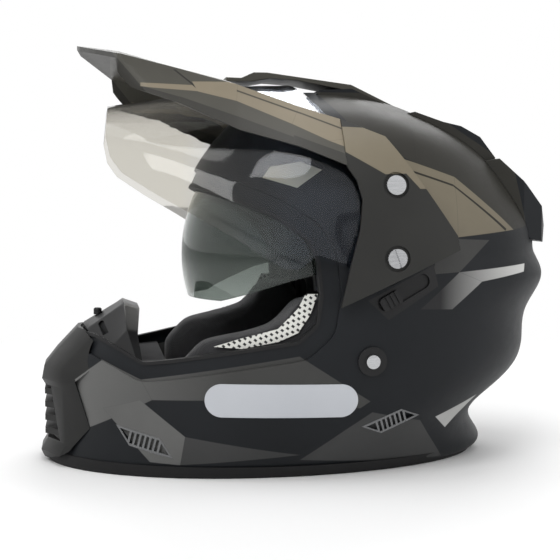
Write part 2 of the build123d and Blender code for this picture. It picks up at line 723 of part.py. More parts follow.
SHIELD_POINTS = outline(SHIELD_SHARES, SHIELD_FROM, SHIELD_LENGTH, SHIELD_LOW, SHIELD_HEIGHT)
with BuildPart() as shield_closed:
    add(across(SHIELD_POINTS, corner=SHIELD_CORNER))
    add(shield_hull(0), mode=Mode.INTERSECT)
    add(shield_hull(SHIELD_WALL), mode=Mode.SUBTRACT)
    with BuildSketch(Plane.XZ):
        with Locations((SHIELD_AXIS_BACK, SHIELD_AXIS_HEIGHT)):
            Circle(HUB_RADIUS + RUNNING_GAP)
    extrude(amount=REACH, both=True, mode=Mode.SUBTRACT)

SHIELD_AXIS = Axis((SHIELD_AXIS_BACK, 0, SHIELD_AXIS_HEIGHT), (0, 1, 0))
with BuildPart() as face_shield:
    add(shield_closed.part.rotate(SHIELD_AXIS, SHIELD_OPEN_ANGLE))

# Side pods: hollow covers over the hubs, open to the front for the shield
def pod_hull(inset):
    """Smooth hull that carries the outer face of both pods."""
    with BuildPart() as hull:
        for height, half in POD_LEVEL_SHARES:
            flank = POD_HALF_WIDTH * half - inset
            with BuildSketch(Plane.XY.offset(POD_CENTRE_HEIGHT * height)):
                with BuildLine():
                    EllipticalCenterArc((POD_WIDEST_BACK, 0), POD_BACK_REACH, flank,
                                        start_angle=-90, arc_size=180)
                    EllipticalCenterArc((POD_WIDEST_BACK, 0), POD_FRONT_REACH, flank,
                                        start_angle=90, arc_size=180)
                make_face()
        loft()
    return hull.part


POD_OUTER = pod_hull(0)
POD_INNER = pod_hull(POD_WALL)
POD_FLOOR = pod_hull(SCREW_RECESS_DEPTH)
SCREW_HEIGHTS = (SCREW_UPPER_HEIGHT, SCREW_LOWER_HEIGHT)

with BuildPart() as pod_hollow:
    add(near([(back - POD_RIM, height) for back, height in POD_POINTS[:4]]
             + [(back - POD_RIM, height + POD_RIM) for back, height in POD_POINTS[4:5]]
             + [(back - REACH / 2, height) for back, height in (POD_POINTS[5], POD_POINTS[0])],
             CAVITY_HALF_WIDTH, REACH))
    add(near([(-REACH / 2, POD_LOW - OVERRUN), (SHIELD_AXIS_BACK, POD_LOW - OVERRUN),
              (SHIELD_AXIS_BACK, SHIELD_AXIS_HEIGHT), (-REACH / 2, SHIELD_AXIS_HEIGHT)],
             CAVITY_HALF_WIDTH, REACH))
    add(side_disc(SHIELD_AXIS_BACK, SHIELD_AXIS_HEIGHT, EAR_RADIUS, CAVITY_HALF_WIDTH, REACH))
    add(POD_INNER, mode=Mode.INTERSECT)

with BuildPart() as screw_recesses:
    for height in SCREW_HEIGHTS:
        with BuildSketch(Plane.XZ):
            with Locations((SCREW_BACK, height)):
                Circle(SCREW_RECESS_RADIUS)
        extrude(amount=REACH)
    add(POD_FLOOR, mode=Mode.SUBTRACT)
    for height in SCREW_HEIGHTS:
        with BuildSketch(Plane.XZ):
            with Locations((SCREW_BACK, height)):
                Circle(SCREW_SHANK_RADIUS)
        extrude(amount=REACH)

with BuildPart() as side_pod_left:
    add(near(POD_POINTS, CAVITY_HALF_WIDTH, REACH))
    add(POD_OUTER, mode=Mode.INTERSECT)
    add(OUTER, mode=Mode.SUBTRACT)
    add(pod_hollow.part, mode=Mode.SUBTRACT)
    add(screw_recesses.part, mode=Mode.SUBTRACT)

# Hubs: fixed posts that the shield turns on, each on a broad foot in the shell's flat
with BuildPart() as shield_hub_left:
    add(side_disc(SHIELD_AXIS_BACK, SHIELD_AXIS_HEIGHT, HUB_SEAT_RADIUS - SEAT_GAP, HUB_SEAT,
                  HUB_SEAT + HUB_FOOT))
    add(side_disc(SHIELD_AXIS_BACK, SHIELD_AXIS_HEIGHT, HUB_RADIUS, HUB_SEAT, REACH))
    add(POD_INNER, mode=Mode.INTERSECT)
    with BuildSketch(Plane.XZ):
        with Locations((SCREW_BACK, SCREW_LOWER_HEIGHT)):
            Circle(SCREW_SHANK_RADIUS)
    extrude(amount=REACH, mode=Mode.SUBTRACT)

# Boss under the upper screw, standing on the shell inside the pod
with BuildPart() as pod_boss_left:
    add(side_disc(SCREW_BACK, SCREW_UPPER_HEIGHT, BOSS_RADIUS, CAVITY_HALF_WIDTH, REACH))
    add(POD_INNER, mode=Mode.INTERSECT)
    add(OUTER, mode=Mode.SUBTRACT)
    with BuildSketch(Plane.XZ):
        with Locations((SCREW_BACK, SCREW_UPPER_HEIGHT)):
            Circle(SCREW_SHANK_RADIUS)
    extrude(amount=REACH, mode=Mode.SUBTRACT)

# Pod screws: broad slotted heads in the recesses
with BuildPart() as screw_shanks:
    for height in SCREW_HEIGHTS:
        add(side_disc(SCREW_BACK, height, SCREW_SHANK_RADIUS, HUB_SEAT + HUB_FOOT, REACH))
    add(pod_hull(SCREW_RECESS_DEPTH - SCREW_HEAD_HEIGHT / 2), mode=Mode.INTERSECT)

with BuildPart() as pod_screws_left:
    for height in SCREW_HEIGHTS:
        with BuildSketch(Plane.XZ):
            with Locations((SCREW_BACK, height)):
                Circle(SCREW_HEAD_RADIUS)
        extrude(amount=REACH)
    add(pod_hull(SCREW_RECESS_DEPTH - SCREW_HEAD_HEIGHT), mode=Mode.INTERSECT)
    add(POD_FLOOR, mode=Mode.SUBTRACT)
    add(screw_shanks.part)
    for height in SCREW_HEIGHTS:
        with BuildSketch(Plane.XZ.offset(POD_HALF_WIDTH * SCREW_SLOT_SHARE)):
            with Locations((SCREW_BACK, height)):
                Rectangle(SCREW_SLOT_WIDTH, 2 * SCREW_HEAD_RADIUS, rotation=SCREW_SLOT_TURN)
        extrude(amount=REACH, mode=Mode.SUBTRACT)

# Peak: a faceted blade with drooping skirts that run back into two arms
def blade_section(back, ridge, shoulder, shoulder_height, edge, edge_height):
    """Closed section of the blade, right across, with the wall under its skin."""
    half = [(0, ridge), (shoulder, shoulder_height), (edge, edge_height)]
    under = [(edge - PEAK_WALL, edge_height), (shoulder - PEAK_WALL, shoulder_height - PEAK_WALL),
             (0, ridge - PEAK_WALL)]
    ring = half + under
    mirrored = [(-out, up) for out, up in reversed(ring) if out]
    return [half[0]] + half[1:] + under + mirrored


with BuildPart() as blade:
    for back, ridge, out, up, edge, low in PEAK_STATION_SHARES:
        points = blade_section(back, PEAK_HEIGHT * ridge, PEAK_SHOULDER * out, PEAK_HEIGHT * up,
                               PEAK_SHOULDER * edge, PEAK_HEIGHT * low)
        with BuildSketch(Plane.YZ.offset(PEAK_TIP_REACH * back)):
            with BuildLine():
                Polyline(*points, close=True)
            make_face()
    loft(ruled=True)

with BuildPart() as arms:
    for back, out, up, edge, low in ARM_STATION_SHARES:
        with BuildSketch(Plane.YZ.offset(PEAK_TIP_REACH * back)):
            with BuildLine():
                Polyline((PEAK_SHOULDER * out, PEAK_HEIGHT * up),
                         (PEAK_SHOULDER * edge, PEAK_HEIGHT * low),
                         (PEAK_SHOULDER * edge - PEAK_WALL, PEAK_HEIGHT * low),
                         (PEAK_SHOULDER * out - PEAK_WALL, PEAK_HEIGHT * up - PEAK_WALL), close=True)
            make_face()
    loft(ruled=True)
    mirror(about=Plane.XZ)

with BuildPart() as peak_plan:
    with BuildSketch():
        with BuildLine():
            Polyline(*[(PEAK_TIP_REACH * back, PEAK_SHOULDER * out) for back, out in PEAK_PLAN_SHARES],
                     close=True)
        make_face()
        mirror(about=Plane.XZ)
    extrude(amount=PEAK_HEIGHT + OVERRUN)

with BuildPart() as visor_peak:
    add(blade.part)
    add(arms.part)
    add(peak_plan.part, mode=Mode.INTERSECT)

# Bridge from the blade back over the open shield to the crown, and the crown block
with BuildPart() as peak_bridge:
    add(across(outline(BRIDGE_SHARES, BRIDGE_FROM, BRIDGE_LENGTH, BRIDGE_LOW, BRIDGE_HEIGHT),
               reach=BRIDGE_HALF_WIDTH))
    add(OUTER, mode=Mode.SUBTRACT)

with BuildPart() as crown_block:
    add(across(outline(CROWN_SHARES, CROWN_FROM, CROWN_LENGTH, CROWN_LOW, CROWN_HEIGHT),
               reach=CROWN_HALF_WIDTH))
    add(OUTER, mode=Mode.SUBTRACT)
    add(peak_bridge.part, mode=Mode.SUBTRACT)

# Rear exhaust with its air slots, and the tail below it
with BuildPart() as rear_exhaust:
    add(across(outline(EXHAUST_SHARES, EXHAUST_FROM, EXHAUST_LENGTH, EXHAUST_LOW, EXHAUST_HEIGHT),
               reach=EXHAUST_HALF_WIDTH))
    add(OUTER, mode=Mode.SUBTRACT)
    add(peak_bridge.part, mode=Mode.SUBTRACT)
    add(crown_block.part, mode=Mode.SUBTRACT)

with BuildPart() as rear_tail:
    with BuildSketch(Plane.XY.offset(TAIL_LOW)):
        with BuildLine():
            Polyline(*[(TAIL_FROM + TAIL_LENGTH * back, TAIL_HALF_WIDTH * half)
                       for back, half in TAIL_PLAN_SHARES], close=True)
        make_face()
        mirror(about=Plane.XZ)
    extrude(amount=TAIL_HEIGHT)
    add(across(outline(TAIL_SHARES, TAIL_FROM, TAIL_LENGTH, TAIL_LOW, TAIL_HEIGHT)),
        mode=Mode.INTERSECT)
    add(OUTER, mode=Mode.SUBTRACT)
    add(rear_exhaust.part, mode=Mode.SUBTRACT)

# Side grilles: a frame with slanted ribs over a thin floor, seated in the shell's bays
def grille(plane):
    """Grille of the left side, seated in its bay."""
    with BuildPart() as grid:
        add(grille_prism(plane, SEAT_GAP / 2))
        add(grille_prism(plane, GRILLE_FRAME), mode=Mode.SUBTRACT)
        pitch = (GRILLE_LENGTH - 2 * GRILLE_FRAME) / RIB_COUNT
        with BuildSketch(plane):
            with GridLocations(pitch, 1, RIB_COUNT - 1, 1):
                Rectangle(RIB_THICKNESS, GRILLE_WIDTH - GRILLE_FRAME)
        extrude(amount=REACH)
        add(grille_prism(plane, SEAT_GAP / 2), mode=Mode.INTERSECT)
        with BuildSketch(plane):
            Rectangle(2 * REACH, 2 * REACH)
        extrude(amount=CAVITY_HALF_WIDTH / 2, mode=Mode.SUBTRACT)
        add(OUTER, mode=Mode.INTERSECT)
        add(GRILLE_SEAT, mode=Mode.SUBTRACT)
    return grid.part


with BuildPart() as chin_side_grille_left:
    add(grille(FRONT_GRILLE))

with BuildPart() as rear_side_grille_left:
    add(grille(REAR_GRILLE))

# Reflective patches along the sides of the chin bar
with BuildPart() as reflective_patch_left:
    with BuildSketch(Plane.XZ.offset(CAVITY_HALF_WIDTH)):
        with Locations((-PATCH_CENTRE_REACH, PATCH_CENTRE_HEIGHT)):
            SlotOverall(PATCH_LENGTH, PATCH_WIDTH)
    extrude(amount=HALF - CAVITY_HALF_WIDTH + OVERRUN)
    add(skin(-PATCH_WALL), mode=Mode.INTERSECT)
    add(OUTER, mode=Mode.SUBTRACT)

# Sun visor: a bowed lens of revolution about its pins, with an arm and an eye at each end
LENS_AXIS = Axis((LENS_AXIS_BACK, 0, LENS_AXIS_HEIGHT), (0, 1, 0))
LENS_PLANE = Plane(origin=(LENS_AXIS_BACK, 0, LENS_AXIS_HEIGHT), x_dir=(-1, 0, 0), z_dir=(0, 0, 1))


def bowed_body(radius):
    """Solid of revolution about the pins, bowed out to a radius in the middle."""
    bow = LENS_BOW + radius - LENS_RADIUS
    with BuildPart() as body:
        with BuildSketch(LENS_PLANE):
            with BuildLine():
                EllipticalCenterArc((0, 0), radius, bow, start_angle=-90, arc_size=180)
                Line((0, bow), (0, -bow))
            make_face()
        revolve(axis=LENS_AXIS)
    return body.part


LENS_POINTS = outline(LENS_SHARES, LENS_FROM, LENS_LENGTH, LENS_LOW, LENS_HEIGHT)
LENS_ARM_INNER = LENS_HALF_WIDTH - LENS_ARM_WALL
LENS_EDGE_RADIUS = LENS_RADIUS * (1 - (LENS_HALF_WIDTH / LENS_BOW) ** 2) ** 0.5
with BuildPart() as lens_arms:
    with BuildSketch(Plane.XZ.offset(LENS_ARM_INNER)):
        with Locations((LENS_AXIS_BACK, LENS_AXIS_HEIGHT)):
            Circle(LENS_EDGE_RADIUS)
    extrude(amount=LENS_ARM_WALL)
    mirror(about=Plane.XZ)

with BuildPart() as sun_visor:
    add(bowed_body(LENS_RADIUS))
    add(bowed_body(LENS_RADIUS - LENS_WALL), mode=Mode.SUBTRACT)
    add(across(LENS_POINTS, reach=LENS_HALF_WIDTH), mode=Mode.INTERSECT)
    add(lens_arms.part)
    add(across(LENS_POINTS, reach=LENS_HALF_WIDTH), mode=Mode.INTERSECT)
    with BuildSketch(Plane.XZ.offset(-REACH)):
        with Locations((LENS_AXIS_BACK, LENS_AXIS_HEIGHT)):
            Circle(LENS_PIN_RADIUS + RUNNING_GAP)
    extrude(amount=2 * REACH, mode=Mode.SUBTRACT)

# Pins of the sun visor, one in each side of the foam
with BuildPart() as sun_visor_pins:
    add(side_disc(LENS_AXIS_BACK, LENS_AXIS_HEIGHT, LENS_PIN_RADIUS, LENS_ARM_INNER - RUNNING_GAP,
                  REACH))
    mirror(about=Plane.XZ)
    add(INNER, mode=Mode.INTERSECT)

# Foam crown: fills the shell down to its foot, round the head cavity, with the slot
# that takes the sun visor and the room for the cheek pads
def head_form(grow):
    """Rounded head space, running straight down through the neck opening."""
    with BuildPart() as space:
        for height, size in CAVITY_LEVEL_SHARES:
            with BuildSketch(Plane.XY.offset(CAVITY_CENTRE_HEIGHT + (CAVITY_HALF_HEIGHT + grow) * height)):
                with Locations((CAVITY_CENTRE_BACK, 0)):
                    Ellipse((CAVITY_HALF_LENGTH + grow) * size, (CAVITY_HALF_WIDTH + grow) * size)
        loft(ruled=True)
    return space.part


LENS_SLOT_POINTS = [(LENS_AXIS_BACK + LENS_SLOT_BACK, LENS_AXIS_HEIGHT),
                    (LENS_FROM, LENS_LOW), (LENS_FROM, REACH), (LENS_AXIS_BACK + LENS_SLOT_BACK, REACH)]
with BuildPart() as lens_slot:
    add(across(LENS_SLOT_POINTS, reach=LENS_HALF_WIDTH + LENS_SLOT_GAP))
    add(bowed_body(LENS_RADIUS - LENS_WALL - LENS_SLOT_GAP), mode=Mode.SUBTRACT)

with BuildPart() as lens_pocket:
    with BuildSketch(Plane.XZ.offset(LENS_ARM_INNER - LENS_SLOT_GAP / 2)):
        with Locations((LENS_AXIS_BACK, LENS_AXIS_HEIGHT)):
            Circle(LENS_EDGE_RADIUS + LENS_SLOT_GAP)
    extrude(amount=LENS_ARM_WALL + LENS_SLOT_GAP)
    mirror(about=Plane.XZ)

with BuildPart() as foam_crown:
    add(skin(SHELL_WALL + FOAM_GAP))
    add(upright(FOAM_LOW, FOAM_HIGH), mode=Mode.INTERSECT)
    add(head_form(LINING_THICKNESS + SEAT_GAP), mode=Mode.SUBTRACT)
    add(across([(-REACH, FOAM_LOW - OVERRUN), (PAD_FROM + PAD_LENGTH + SEAT_GAP, FOAM_LOW - OVERRUN),
                (PAD_FROM + PAD_LENGTH + SEAT_GAP, PAD_LOW + PAD_HEIGHT + SEAT_GAP),
                (-REACH, PAD_LOW + PAD_HEIGHT + SEAT_GAP)]), mode=Mode.SUBTRACT)
    add(across(EYEPORT_POINTS, corner=EYEPORT_CORNER), mode=Mode.SUBTRACT)
    add(lens_slot.part, mode=Mode.SUBTRACT)
    add(lens_pocket.part, mode=Mode.SUBTRACT)
    add(sun_visor_pins.part, mode=Mode.SUBTRACT)
    for out, top in STRAP_SLOT_SHARES:
        for side in (-1, 1):
            with BuildSketch(Plane.XY.offset(FOAM_LOW - OVERRUN)):
                with Locations((RIVET_BACK, side * (STRAP_OUT * out - STRAP_ROOM + REACH))):
                    Rectangle(STRAP_WIDTH + 2 * RUNNING_GAP, 2 * REACH)
            extrude(amount=STRAP_TOP * top + OVERRUN - FOAM_LOW + RUNNING_GAP, mode=Mode.SUBTRACT)

# Comfort lining: a soft cap inside the foam
with BuildPart() as comfort_lining:
    add(head_form(LINING_THICKNESS))
    add(head_form(0), mode=Mode.SUBTRACT)
    add(upright(LINING_LOW, PEAK_HEIGHT), mode=Mode.INTERSECT)
    add(across([(-REACH, LINING_LOW - OVERRUN), (PAD_FROM + PAD_LENGTH + SEAT_GAP, LINING_LOW - OVERRUN),
                (PAD_FROM + PAD_LENGTH + SEAT_GAP, PAD_LOW + PAD_HEIGHT + SEAT_GAP),
                (-REACH, PAD_LOW + PAD_HEIGHT + SEAT_GAP)]), mode=Mode.SUBTRACT)
    add(across(EYEPORT_POINTS, corner=EYEPORT_CORNER), mode=Mode.SUBTRACT)

# Foam chin bar inside the front of the shell
with BuildPart() as foam_chin:
    add(skin(SHELL_WALL + SEAT_GAP))
    add(skin(CHIN_FOAM_DEPTH), mode=Mode.SUBTRACT)
    add(across([(-REACH, CHIN_FOAM_LOW), (-CHIN_FOAM_REACH, CHIN_FOAM_LOW),
                (-CHIN_FOAM_REACH, CHIN_FOAM_HIGH), (-REACH, CHIN_FOAM_HIGH)]), mode=Mode.INTERSECT)

# Cheek pads: crowned cushions that swell from the face side to the shell
PAD_POINTS = outline(PAD_SHARES, PAD_FROM, PAD_LENGTH, PAD_LOW, PAD_HEIGHT)
PAD_MIDDLE = (PAD_FROM + PAD_LENGTH / 2, PAD_LOW + PAD_HEIGHT / 2)
with BuildPart() as pad_block:
    for depth, size in PAD_CROWN_SHARES:
        points = [(PAD_MIDDLE[0] + (back - PAD_MIDDLE[0]) * size,
                   PAD_MIDDLE[1] + (height - PAD_MIDDLE[1]) * size) for back, height in PAD_POINTS]
        with BuildSketch(Plane.XZ.offset(PAD_INNER + PAD_CROWN * depth)):
            with BuildLine():
                FilletPolyline(*points, radius=PAD_CORNER * size, close=True)
            make_face()
    loft()
    add(near(PAD_POINTS, PAD_INNER + PAD_CROWN, HALF, corner=PAD_CORNER))

with BuildPart() as cheek_pad_left:
    add(pad_block.part)
    add(skin(PAD_DEPTH), mode=Mode.INTERSECT)

# Airy fabric strip along the outer edge of each cheek pad
with BuildPart() as cheek_strip_left:
    add(near([(PAD_FROM + PAD_LENGTH * along, PAD_LOW + PAD_HEIGHT * up)
              for along, up in STRIP_SHARES], PAD_INNER + PAD_CROWN, HALF))
    add(skin(PAD_DEPTH - STRIP_WALL), mode=Mode.INTERSECT)
    add(skin(PAD_DEPTH), mode=Mode.SUBTRACT)

# Neck roll round the back of the neck opening
with BuildPart() as neck_roll:
    add(skin(SHELL_WALL + TRIM_WALL))
    add(skin(SHELL_WALL + TRIM_WALL + ROLL_THICKNESS), mode=Mode.SUBTRACT)
    add(upright(ROLL_LOW, FOAM_LOW - SEAT_GAP), mode=Mode.INTERSECT)
    with BuildSketch(Plane.XY.offset(-OVERRUN)):
        with Locations((ROLL_FRONT_BACK - REACH, 0)):
            Rectangle(2 * REACH, 2 * REACH)
    extrude(amount=PEAK_HEIGHT, mode=Mode.SUBTRACT)
    with BuildSketch():
        with Locations((ROLL_MOUTH_MIDDLE, 0)):
            Ellipse(ROLL_MOUTH_REACH, ROLL_MOUTH_HALF)
    extrude(amount=ROLL_MOUTH_TOP, mode=Mode.SUBTRACT)

# Sun visor slider: a track in the shell's bay and a ribbed slider that runs in its slot
TRACK_RUN = (cos(TRACK_TILT * pi / 180) * cos(TRACK_LEAN * pi / 180), sin(TRACK_LEAN * pi / 180),
             sin(TRACK_TILT * pi / 180) * cos(TRACK_LEAN * pi / 180))
TRACK_OUT = (cos(TRACK_TILT * pi / 180) * sin(TRACK_LEAN * pi / 180), -cos(TRACK_LEAN * pi / 180),
             sin(TRACK_TILT * pi / 180) * sin(TRACK_LEAN * pi / 180))
TRACK_PLANE = Plane(origin=(TRACK_CENTRE_BACK, TRACK_SURFACE + TRACK_DEPTH - TRACK_FLOOR,
                            TRACK_CENTRE_HEIGHT), x_dir=TRACK_RUN, z_dir=TRACK_OUT)
with BuildPart() as slider_track:
    add(near(TRACK_POINTS, CAVITY_HALF_WIDTH, REACH))
    add(OUTER, mode=Mode.INTERSECT)
    add(skin(TRACK_DEPTH), mode=Mode.SUBTRACT)
    with BuildSketch(TRACK_PLANE):
        SlotOverall(SLIDER_TRAVEL + SLIDER_LENGTH + 2 * SLOT_END_GAP, SLOT_WIDTH)
    extrude(amount=REACH, mode=Mode.SUBTRACT)

with BuildPart() as sun_visor_slider:
    with BuildSketch(TRACK_PLANE.offset(SEAT_GAP)):
        with Locations((-SLIDER_TRAVEL / 2, 0)):
            RectangleRounded(SLIDER_LENGTH, SLIDER_WIDTH, SLIDER_CORNER)
    extrude(amount=SLIDER_HEIGHT)
    with BuildSketch(TRACK_PLANE.offset(SEAT_GAP + SLIDER_HEIGHT - SLIDER_RIB_DEPTH)):
        with Locations((-SLIDER_TRAVEL / 2, 0)):
            with GridLocations(SLIDER_RIB_PITCH, SLIDER_WIDTH, SLIDER_RIB_COUNT, 1):
                Rectangle(SLIDER_RIB_WIDTH, 2 * SLIDER_WIDTH)
    extrude(amount=SLIDER_HEIGHT, mode=Mode.SUBTRACT)

# Strap rivets: a domed head and a ring outside, a shank through the shell, and a
# flange behind the webbing
with BuildPart() as strap_rivet_left:
    add(side_disc(RIVET_BACK, RIVET_HEIGHT, RIVET_HEAD_RADIUS, CAVITY_HALF_WIDTH, REACH))
    add(skin(-RIVET_RING_HEIGHT - RIVET_HEAD_HEIGHT), mode=Mode.INTERSECT)
    add(skin(-RIVET_RING_HEIGHT), mode=Mode.SUBTRACT)
    add(side_disc(RIVET_BACK, RIVET_HEIGHT, RIVET_SHANK_RADIUS - SEAT_GAP,
                  STRAP_OUT - STRAP_WALL / 2 - FLANGE_WALL, HALF + RIVET_RING_HEIGHT))
    add(side_disc(RIVET_BACK, RIVET_HEIGHT, FLANGE_RADIUS,
                  STRAP_OUT - STRAP_WALL / 2 - FLANGE_WALL, STRAP_OUT - STRAP_WALL / 2))

with BuildPart() as rivet_ring_left:
    add(side_disc(RIVET_BACK, RIVET_HEIGHT, RIVET_RING_RADIUS, CAVITY_HALF_WIDTH, REACH))
    add(side_disc(RIVET_BACK, RIVET_HEIGHT, RIVET_SHANK_RADIUS, 0, REACH), mode=Mode.SUBTRACT)
    add(skin(-RIVET_RING_HEIGHT), mode=Mode.INTERSECT)
    add(OUTER, mode=Mode.SUBTRACT)

# Chin straps: webbing from each rivet down and across under the chin
STRAP_CORNERS = ([(-STRAP_OUT * out, STRAP_TOP * up) for out, up in STRAP_RUN_SHARES]
                 + [(-STRAP_OUT * STRAP_TURN_SHARE, STRAP_LEVEL), (-STRAP_END, STRAP_LEVEL)])
with BuildPart() as chin_strap_left:
    with BuildSketch(Plane.YZ.offset(RIVET_BACK - STRAP_WIDTH / 2)):
        with BuildLine():
            FilletPolyline(*STRAP_CORNERS, radius=STRAP_BEND)
        trace(line_width=STRAP_WALL)
    extrude(amount=STRAP_WIDTH)
    add(side_disc(RIVET_BACK, RIVET_HEIGHT, RIVET_SHANK_RADIUS, CAVITY_HALF_WIDTH, HALF),
        mode=Mode.SUBTRACT)

# Buckle of the chin strap: body, tongue with its yoke, and a sprung lever on a cross pin
def buckle_block(width, start, length, low, height):
    """Block of the buckle, centred on the strap's width."""
    with BuildPart() as block:
        with BuildSketch(Plane.XY.offset(low)):
            with Locations((RIVET_BACK, start + length / 2)):
                Rectangle(width, length)
        extrude(amount=height)
    return block.part


def cross_pin(radius, half_length):
    """Bar along the width of the strap, on the axis of the lever."""
    with BuildPart() as bar:
        with BuildSketch(Plane.YZ.offset(RIVET_BACK - half_length)):
            with Locations((LEVER_BACK, LEVER_HEIGHT)):
                Circle(radius)
        extrude(amount=2 * half_length)
    return bar.part


STRAP_POCKET = STRAP_WALL + 2 * SEAT_GAP
BUCKLE_END = BUCKLE_FROM + BUCKLE_BLOCK
CHANNEL_WIDTH = BUCKLE_WIDTH - 2 * BUCKLE_WALL
with BuildPart() as buckle_body:
    add(buckle_block(BUCKLE_WIDTH, BUCKLE_FROM, BUCKLE_LENGTH, BUCKLE_LOW, BUCKLE_HEIGHT))
    fillet(buckle_body.edges().filter_by(Axis.Z), BUCKLE_WALL)
    add(buckle_block(CHANNEL_WIDTH, BUCKLE_END, BUCKLE_LENGTH, BUCKLE_LOW - OVERRUN,
                     BUCKLE_HEIGHT - BUCKLE_WALL + OVERRUN), mode=Mode.SUBTRACT)
    add(buckle_block(STRAP_WIDTH + 2 * SEAT_GAP, -STRAP_END - BUCKLE_LENGTH, BUCKLE_LENGTH,
                     STRAP_LEVEL - STRAP_POCKET / 2, STRAP_POCKET), mode=Mode.SUBTRACT)
    add(cross_pin(LEVER_PIN_RADIUS + LEVER_PIN_GAP, BUCKLE_WIDTH), mode=Mode.SUBTRACT)

with BuildPart() as buckle_tongue:
    add(buckle_block(TONGUE_WIDTH, TONGUE_FROM, YOKE_FROM - TONGUE_FROM,
                     BUCKLE_LOW + BUCKLE_HEIGHT - BUCKLE_WALL - TONGUE_WALL, TONGUE_WALL))
    add(buckle_block(YOKE_WIDTH, YOKE_FROM, -BUCKLE_FROM - YOKE_FROM,
                     STRAP_LEVEL - YOKE_HEIGHT / 2, YOKE_HEIGHT))
    add(buckle_block(STRAP_WIDTH + 2 * SEAT_GAP, STRAP_END, BUCKLE_LENGTH,
                     STRAP_LEVEL - STRAP_POCKET / 2, STRAP_POCKET), mode=Mode.SUBTRACT)

with BuildPart() as buckle_lever:
    add(buckle_block(CHANNEL_WIDTH - 2 * SEAT_GAP, LEVER_BACK, LEVER_LENGTH, BUCKLE_LOW, LEVER_WALL))
    add(cross_pin(LEVER_EYE_RADIUS, CHANNEL_WIDTH / 2 - SEAT_GAP))
    add(cross_pin(LEVER_PIN_RADIUS, BUCKLE_WIDTH / 2))
    with BuildSketch(Plane.XY.offset(BUCKLE_LOW)):
        with Locations((RIVET_BACK, LEVER_BACK + LEVER_LENGTH - LEVER_GRIP_PITCH * LEVER_GRIP_COUNT)):
            with GridLocations(CHANNEL_WIDTH, LEVER_GRIP_PITCH, 1, LEVER_GRIP_COUNT):
                Rectangle(CHANNEL_WIDTH, LEVER_GRIP_PITCH / 2)
    extrude(amount=LEVER_GRIP_DEPTH, mode=Mode.SUBTRACT)

for node, name in ((outer_shell, "outer_shell"), (eyeport_gasket, "eyeport_gasket"),
                   (base_trim, "base_trim"), (mouth_guard, "mouth_guard"),
                   (chin_grille, "chin_grille"), (nose_piece, "nose_piece"),
                   (chin_vent_knob, "chin_vent_knob"), (face_shield, "face_shield"),
                   (visor_peak, "visor_peak"), (peak_bridge, "peak_bridge"),
                   (crown_block, "crown_block"), (rear_exhaust, "rear_exhaust"),
                   (rear_tail, "rear_tail"), (sun_visor, "sun_visor"),
                   (sun_visor_pins, "sun_visor_pins"), (foam_crown, "foam_crown"),
                   (comfort_lining, "comfort_lining"), (foam_chin, "foam_chin"),
                   (neck_roll, "neck_roll"), (slider_track, "slider_track"),
                   (sun_visor_slider, "sun_visor_slider"), (buckle_body, "buckle_body"),
                   (buckle_tongue, "buckle_tongue"), (buckle_lever, "buckle_lever")):
    node.part.label = name
    export_step(node.part, f"parts/{name}.step")
    print(name, round(node.part.volume), len(node.part.solids()), node.part.is_valid)

# Pieces that come as a pair are mirrored to the right side
for node, name in ((side_pod_left, "side_pod"), (shield_hub_left, "shield_hub"),
                   (pod_boss_left, "pod_boss"), (pod_screws_left, "pod_screws"),
                   (chin_side_grille_left, "chin_side_grille"),
                   (rear_side_grille_left, "rear_side_grille"),
                   (reflective_patch_left, "reflective_patch"), (cheek_pad_left, "cheek_pad"),
                   (cheek_strip_left, "cheek_strip"), (strap_rivet_left, "strap_rivet"),
                   (rivet_ring_left, "rivet_ring"), (chin_strap_left, "chin_strap")):
    node.part.label = f"{name}_left"
    export_step(node.part, f"parts/{name}_left.step")
    with BuildPart() as right:
        add(node.part)
        mirror(about=Plane.XZ, mode=Mode.REPLACE)
    right.part.label = f"{name}_right"
    export_step(right.part, f"parts/{name}_right.step")
    print(name, round(node.part.volume), len(node.part.solids()), node.part.is_valid)
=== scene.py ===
# %% [markdown]
# A dual sport helmet, dressed piece by piece
# The solids come from the packed model, so this lesson starts with that frame and keeps
# every piece on the body that carries it. Sizes are in metres, the face looks along -X,
# the wearer's left side is -Y, and +Z is up.

# %% The frame that everything sits on
import bpy
import bmesh
import json
import math
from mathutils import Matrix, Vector


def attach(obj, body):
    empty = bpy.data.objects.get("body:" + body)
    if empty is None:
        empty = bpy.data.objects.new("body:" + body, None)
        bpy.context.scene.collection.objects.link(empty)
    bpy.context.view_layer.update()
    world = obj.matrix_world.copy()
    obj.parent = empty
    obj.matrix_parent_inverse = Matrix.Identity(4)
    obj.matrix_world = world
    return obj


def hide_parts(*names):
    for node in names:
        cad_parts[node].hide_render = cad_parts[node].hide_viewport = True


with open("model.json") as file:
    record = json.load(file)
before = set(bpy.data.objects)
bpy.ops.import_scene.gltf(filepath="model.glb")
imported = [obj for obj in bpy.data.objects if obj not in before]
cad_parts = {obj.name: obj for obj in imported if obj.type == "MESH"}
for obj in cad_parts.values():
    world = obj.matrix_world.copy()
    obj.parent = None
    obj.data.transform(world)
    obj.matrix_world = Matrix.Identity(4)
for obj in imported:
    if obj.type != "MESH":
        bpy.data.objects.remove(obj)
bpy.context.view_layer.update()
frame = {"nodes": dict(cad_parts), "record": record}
scene = bpy.context.scene
nodes = frame["nodes"]
record = frame["record"]
MM = 0.001

# %% [markdown]
# Shader maths reads best as plain expressions. A small class wraps one socket, and each
# operator on it adds the Math node that does the sum, so a mask can be written as 1 - mask.
# Wiring the same sums by hand would take a line for every node and another for every link.

